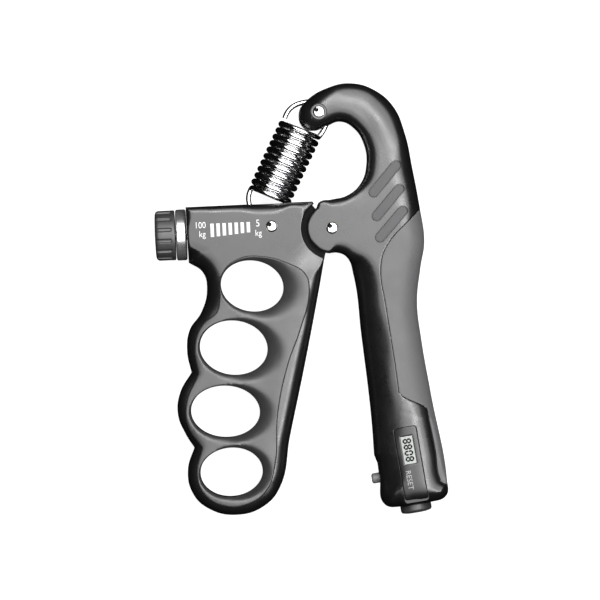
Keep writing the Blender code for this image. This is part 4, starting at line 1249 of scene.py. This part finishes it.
def build_pins():
    """Pins with a dimple in each head, its inside painted black as shade, and a thin ring round each end of
    the hook pin.
    """
    pins = (
        ("hook_pin", HOOK_PIN_RADIUS, 2.25, HOOK_PIN, "palm_handle"),
        ("barrel_cross_pin", STOP_PIN_RADIUS, STOP_PIN_RADIUS, barrel_point(*STOP_PIN), "finger_handle"),
        ("pivot_pin", PIVOT_PIN_RADIUS, PIVOT_PIN_RADIUS, PIVOT, "palm_handle"),
    )
    for node, radius, head, spot, body in pins:
        made = turned(pin_profile(radius, head), raised(spot), 48)
        dimples = bmesh.new()
        x, y = spot[0] - 0.4 * head, spot[1] + 0.36 * head
        centres = [Vector((x, y, z)) * MM for z in (FACE + 0.6, -0.6)]
        for centre in centres:
            place = Matrix.Translation(centre)
            bmesh.ops.create_icosphere(dimples, subdivisions=4, radius=1.1 * MM, matrix=place)
        carve(made, "DIFFERENCE", from_bmesh("cutter", dimples))
        finish_piece(made, f"{node}_steel", CHROME, body, [node], sharp=40)
        # Painted shade: the faces inside each dimple take the black material.
        made.data.materials.append(BLACK_AND_PAINTED_SHADE)
        for face in made.data.polygons:
            face.material_index = int(min((face.center - centre).length for centre in centres) < 1.12 * MM)
    for side in ("front", "rear"):
        ring = [
            (2.05, 22.6), (3.05, 22.6), (3.05, 23.75), (2.9, 23.9),
            (2.35, 23.9), (2.35, 23.2), (2.05, 23.2), (2.05, 22.6),
        ]
        if side == "rear":
            ring = [(radius, FACE - height) for radius, height in ring]
        made = turned(ring, raised(HOOK_PIN), 48)
        node = f"hook_pin_ferrule_{side}"
        finish_piece(made, f"hook_ring_{side}", DARK_STEEL, "palm_handle", [node], sharp=40)


def build_screws():
    """Pan-head cross-slot screws in the rear casings."""
    groups = (
        ("finger_case_screw", FINGER_SCREWS, "finger_handle"),
        ("palm_case_screw", PALM_SCREWS, "palm_handle"),
    )
    head = soften([(0, 2.9), (1.5, 2.95), (2.3, 3.6), (2.3, 4.8), (1.2, 4.8)], 0.5)
    shank = [(1.2, 15.2), (0.5, 16.6), (0, 16.6)]
    for prefix, centres, body in groups:
        for number, centre in enumerate(centres, 1):
            screw = turned([*head, *shank], raised(centre), 40)
            turn = Matrix.Rotation(radians(17 + 31 * number), 4, "Z")
            cross = raised(centre) @ turn @ raised((0, 0), 3.0)
            carve(screw, "DIFFERENCE", block((2.5, 0.55, 1.5), cross), block((0.55, 2.5, 1.5), cross))
            node = f"{prefix}_{number}"
            finish_piece(screw, f"{node}_steel", STEEL, body, [node], sharp=35)


def build_lead_screw():
    """The lead screw's thread is cut as a rolled helix between its plain ends."""
    steps, pitch, depth = 24, 2.0, 0.22
    first, last, rows_per_turn = -59.0, -29.5, 10
    rows = int((last - first) / pitch * rows_per_turn)
    vertices = []
    for row in range(rows + 1):
        height = first + (last - first) * row / rows
        fade = min(1.0, row / rows_per_turn, (rows - row) / rows_per_turn)
        for i in range(steps):
            angle = tau * i / steps
            wave = 0.5 - 0.5 * cos(angle - tau * height / pitch)
            radius = 2.0 - depth * fade * wave
            vertices.append(barrel_vertex(radius, angle, height))
    screw = new_piece("screw", vertices, ring_faces(rows + 1, steps))
    matrix = barrel_matrix()
    hexagon = bar(3.6, -66.2, -61.5, matrix, 6)
    carve(screw, "UNION", hexagon, bar(1.95, -62, -58.5, matrix), bar(1.2, -30, -26.2, matrix))
    finish_piece(screw, "threaded_screw", STEEL, "adjuster", ["lead_screw"], sharp=35)


# Spring


def coil_point(turn):
    """A point on the coil's centre line, turn 0 at its top end on the right."""
    axis = np.array((-sin(SPRING_TILT), -cos(SPRING_TILT), 0))
    side = np.array((cos(SPRING_TILT), -sin(SPRING_TILT), 0))
    centre = np.array((*SPRING_TOP, HALF)) + axis * COIL_PITCH * turn
    return centre + side * COIL_RADIUS * cos(tau * turn) + np.array((0, 0, COIL_RADIUS * sin(tau * turn)))


def coil(first, last):
    count = round((last - first) * 44)
    return [coil_point(first + (last - first) * i / count) for i in range(count + 1)]


def top_loop_points():
    """The hook round the pin. It bulges towards the pin, which stands off the coil's axis."""
    steps = 44
    reach = HOOK_PIN - TOP_LOOP
    pin_angle = atan2(reach[1], reach[0])
    points = []
    for i in range(steps + 1):
        angle = radians(-38) + radians(204) * i / steps
        bulge = TOP_LOOP_BULGE * max(0.0, cos(angle - pin_angle)) ** 4
        spot = TOP_LOOP + np.array((cos(angle), sin(angle))) * (TOP_LOOP_RADIUS + bulge)
        points.append(np.array((*spot, HALF)))
    return points


def bottom_loop_points():
    """The hook under the anchor pin, from the coil's left end round to its right side."""
    steps = 40
    lean = np.array((sin(SPRING_TILT), cos(SPRING_TILT)))
    centre = barrel_point(*ANCHOR_PIN) + lean * 4.8
    first, last = pi - SPRING_TILT, tau - SPRING_TILT - radians(4)
    angles = [first + (last - first) * i / steps for i in range(steps + 1)]
    return [np.array((*(centre + np.array((cos(a), sin(a))) * BOTTOM_LOOP_RADIUS), HALF)) for a in angles]


def bridge(start, start_way, end, end_way):
    """A smooth run of wire between two ends and their directions."""
    steps = 12
    gap = np.linalg.norm(end - start)
    points = []
    for i in range(1, steps):
        t = i / steps
        points.append(
            start * (2 * t**3 - 3 * t**2 + 1) + unit(start_way) * gap * (t**3 - 2 * t**2 + t)
            + end * (3 * t**2 - 2 * t**3) + unit(end_way) * gap * (t**3 - t**2)
        )
    return points


def coil_wire(count):
    """The wire's radius at each point of a half coil, which swells away from its hook."""
    share = smoothstep(np.linspace(0, COIL_TURNS * 2, count))
    return WIRE_RADIUS + (COIL_WIRE_RADIUS - WIRE_RADIUS) * share


def spring_piece(name, path, radius, node, body=None):
    made = tube(name, path, radius)
    return finish_piece(made, name, CHROME, body, [node], sharp=60)


def build_spring():
    """One wire in four pieces: a hook, two half coils that stretch, and a hook."""
    half = COIL_TURNS / 2
    loop = top_loop_points()
    start = coil(0.0, 0.25)
    link = bridge(loop[0], loop[0] - loop[1], start[0], start[1] - start[0])
    top = [*reversed(loop), *link, *start]
    upper = coil(0.25, half)
    lower = coil(half, COIL_TURNS - 0.12)
    foot = bottom_loop_points()
    link = bridge(lower[-1], lower[-1] - lower[-2], foot[0], foot[1] - foot[0])
    bottom = [lower[-1], *link, *foot]
    spring_piece("spring_hook", top, WIRE_RADIUS, "spring_top_loop", "spring_upper")
    made = spring_piece("spring_coils_upper", upper, coil_wire(len(upper)), "spring_upper_coils")
    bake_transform(made)
    made = spring_piece("spring_coils_lower", lower, coil_wire(len(lower))[::-1], "spring_lower_coils")
    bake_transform(made)
    spring_piece("spring_foot_loop", bottom, WIRE_RADIUS, "spring_bottom_loop", "spring_foot")


# Trigger and reset button


def build_trigger():
    """The counter's trigger: a pin whose notched nose faces the other handle."""
    across = trigger_matrix()
    radius, wide, tip = PLUNGER_RADIUS, PLUNGER_FLANGE, PLUNGER_TIP
    nose = [(0, tip), (radius - 0.6, tip), (radius, tip + 0.5), (radius, -10.8)]
    flange = [(wide, -10.8), (wide, -9.8), (1.0, -9.8), (1.0, -9.2), (0, -9.2)]
    nub = turned(soften([*nose, *flange], 0.25), across, 48)
    notches = []
    for i in range(5):
        spin = across @ Matrix.Rotation(pi * i / 5, 4, "Z") @ raised((0, 0), tip)
        notches.append(block((5.0, 0.42, 1.0), spin))
    carve(nub, "DIFFERENCE", *notches)
    finish_piece(nub, "trigger_nub", NUB, "count_trigger", ["count_plunger"], sharp=35)


def build_reset():
    """The reset key: a domed cap with a flange that holds it in the handle."""
    radius, tip = RESET_RADIUS, RESET_TIP
    dome = [(0, tip), (radius * 0.6, tip - 0.08), (radius - 0.5, tip - 0.45), (radius, tip - 1.1)]
    flange = [(radius, 12.6), (6.9, 12.6), (6.9, 11.8), (0, 11.8)]
    cap = turned(soften([*dome, *flange], 0.4, 5), reset_matrix(), 72)
    finish_piece(cap, "reset_cap", KNOB, "reset_key", ["reset_button"], sharp=35)


def build_return_springs():
    """Conical springs behind the trigger and the reset key, so that they can close up almost flat."""
    springs = (
        ("plunger_spring", trigger_matrix(), 1.9, 0.2, -6.4, -9.4, "count_trigger"),
        ("reset_spring", reset_matrix(), 2.3, 0.22, 9.1, 11.5, "reset_key"),
    )
    turns, steps = 2.5, 90
    for node, matrix, wide, wire, still_end, moving_end, body in springs:
        path = []
        for i in range(steps + 1):
            share = i / steps
            angle = tau * turns * share
            radius = wide - 2.1 * wire * turns * (1 - share)
            height = still_end + (moving_end - still_end) * share
            spot = matrix @ (Vector((radius * cos(angle), radius * sin(angle), height)) * MM)
            path.append(np.array(spot) / MM)
        made = tube(f"{node}_coil", path, wire, 12)
        finish_piece(made, f"{node}_coil", STEEL, None, [node], sharp=60)
        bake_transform(made)


# CAD parts that keep their shape


def paint_kept_parts():
    kept = {
        STEEL: (
            "screw_thrust_washer", "pivot_washer_front", "pivot_washer_rear", "coin_cell",
            "spring_anchor_pin", "screw_retaining_clip",
        ),
        BRASS: ("tension_carriage", "screw_end_bearing", "pivot_bush", "battery_clip"),
        BLACK_AND_PAINTED_SHADE: ("count_switch", "reset_switch"),
        BOARD: ("counter_board",),
    }
    for material, nodes in kept.items():
        for node in nodes:
            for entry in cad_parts[node].material_slots:
                entry.material = material


# Studio


def build_floor():
    made = Shader("floor_white", (0.40, 0.40, 0.40), 0.9, specular=0.1)
    made.tint(made.ramp(made.noise(0.02, 3.0), 0.3, 0.7, 0.0, 0.2), (0.38, 0.38, 0.38))
    made.set("Emission Color", (1, 1, 1, 1))
    made.set("Emission Strength", 0.90)
    reach, height = 3.0, -0.0004
    corners = ((-reach, -reach), (reach, -reach), (reach, reach), (-reach, reach))
    floor = new_piece("floor", [(x, y, height) for x, y in corners], [(0, 1, 2, 3)])
    floor.data.materials.append(made.material)
    floor.visible_diffuse = False
    floor.visible_glossy = False


def area_light(name, centre, size, radiance, spin=0.0):
    """A level soft box above the object, with an even glow."""
    light = bpy.data.lights.new(name, "AREA")
    light.shape = "RECTANGLE"
    light.size, light.size_y = size
    light.energy = radiance * pi * size[0] * size[1]
    lamp = bpy.data.objects.new(name, light)
    SCENE.collection.objects.link(lamp)
    lamp.location = centre
    lamp.rotation_euler = (0, 0, spin)
    lamp.visible_camera = False


def build_lights():
    area_light("top_box", centre=(0.17, 0.36, 0.9), size=(1.24, 1.62), radiance=2.5)
    area_light(
        "highlight_strip", centre=(0.155, 0.155, 0.88), size=(0.09, 1.3), radiance=13.5, spin=radians(45)
    )
    world = bpy.data.worlds.new("studio")
    SCENE.world = world
    world.use_nodes = True
    nodes, links = world.node_tree.nodes, world.node_tree.links
    glow = nodes["Background"]
    seen = nodes.new("ShaderNodeLightPath").outputs["Is Camera Ray"]
    pale = nodes.new("ShaderNodeMapRange")
    pale.inputs["To Min"].default_value = 0.05
    pale.inputs["To Max"].default_value = 0.95
    links.new(seen, pale.inputs["Value"])
    links.new(pale.outputs["Result"], glow.inputs["Strength"])


def build_camera():
    """Straight down on the front face through a long lens."""
    distance, width = 3.0, 0.234
    data = bpy.data.cameras.new("camera")
    data.lens = data.sensor_width * (distance - HALF * MM) / width
    data.clip_end = 20
    camera = bpy.data.objects.new("camera", data)
    SCENE.collection.objects.link(camera)
    camera.location = (-0.0004, -0.0002, distance)
    SCENE.camera = camera


build_camera()
build_floor()
build_lights()
build_finger_casings()
build_finger_pads()
build_palm_casings()
build_inlays()
build_face_plate()
build_digits()
build_scale()
build_collar()
build_knob()
build_pins()
build_screws()
build_lead_screw()
build_spring()
build_trigger()
build_reset()
build_return_springs()
paint_kept_parts()
SCENE.view_settings.view_transform = "Standard"
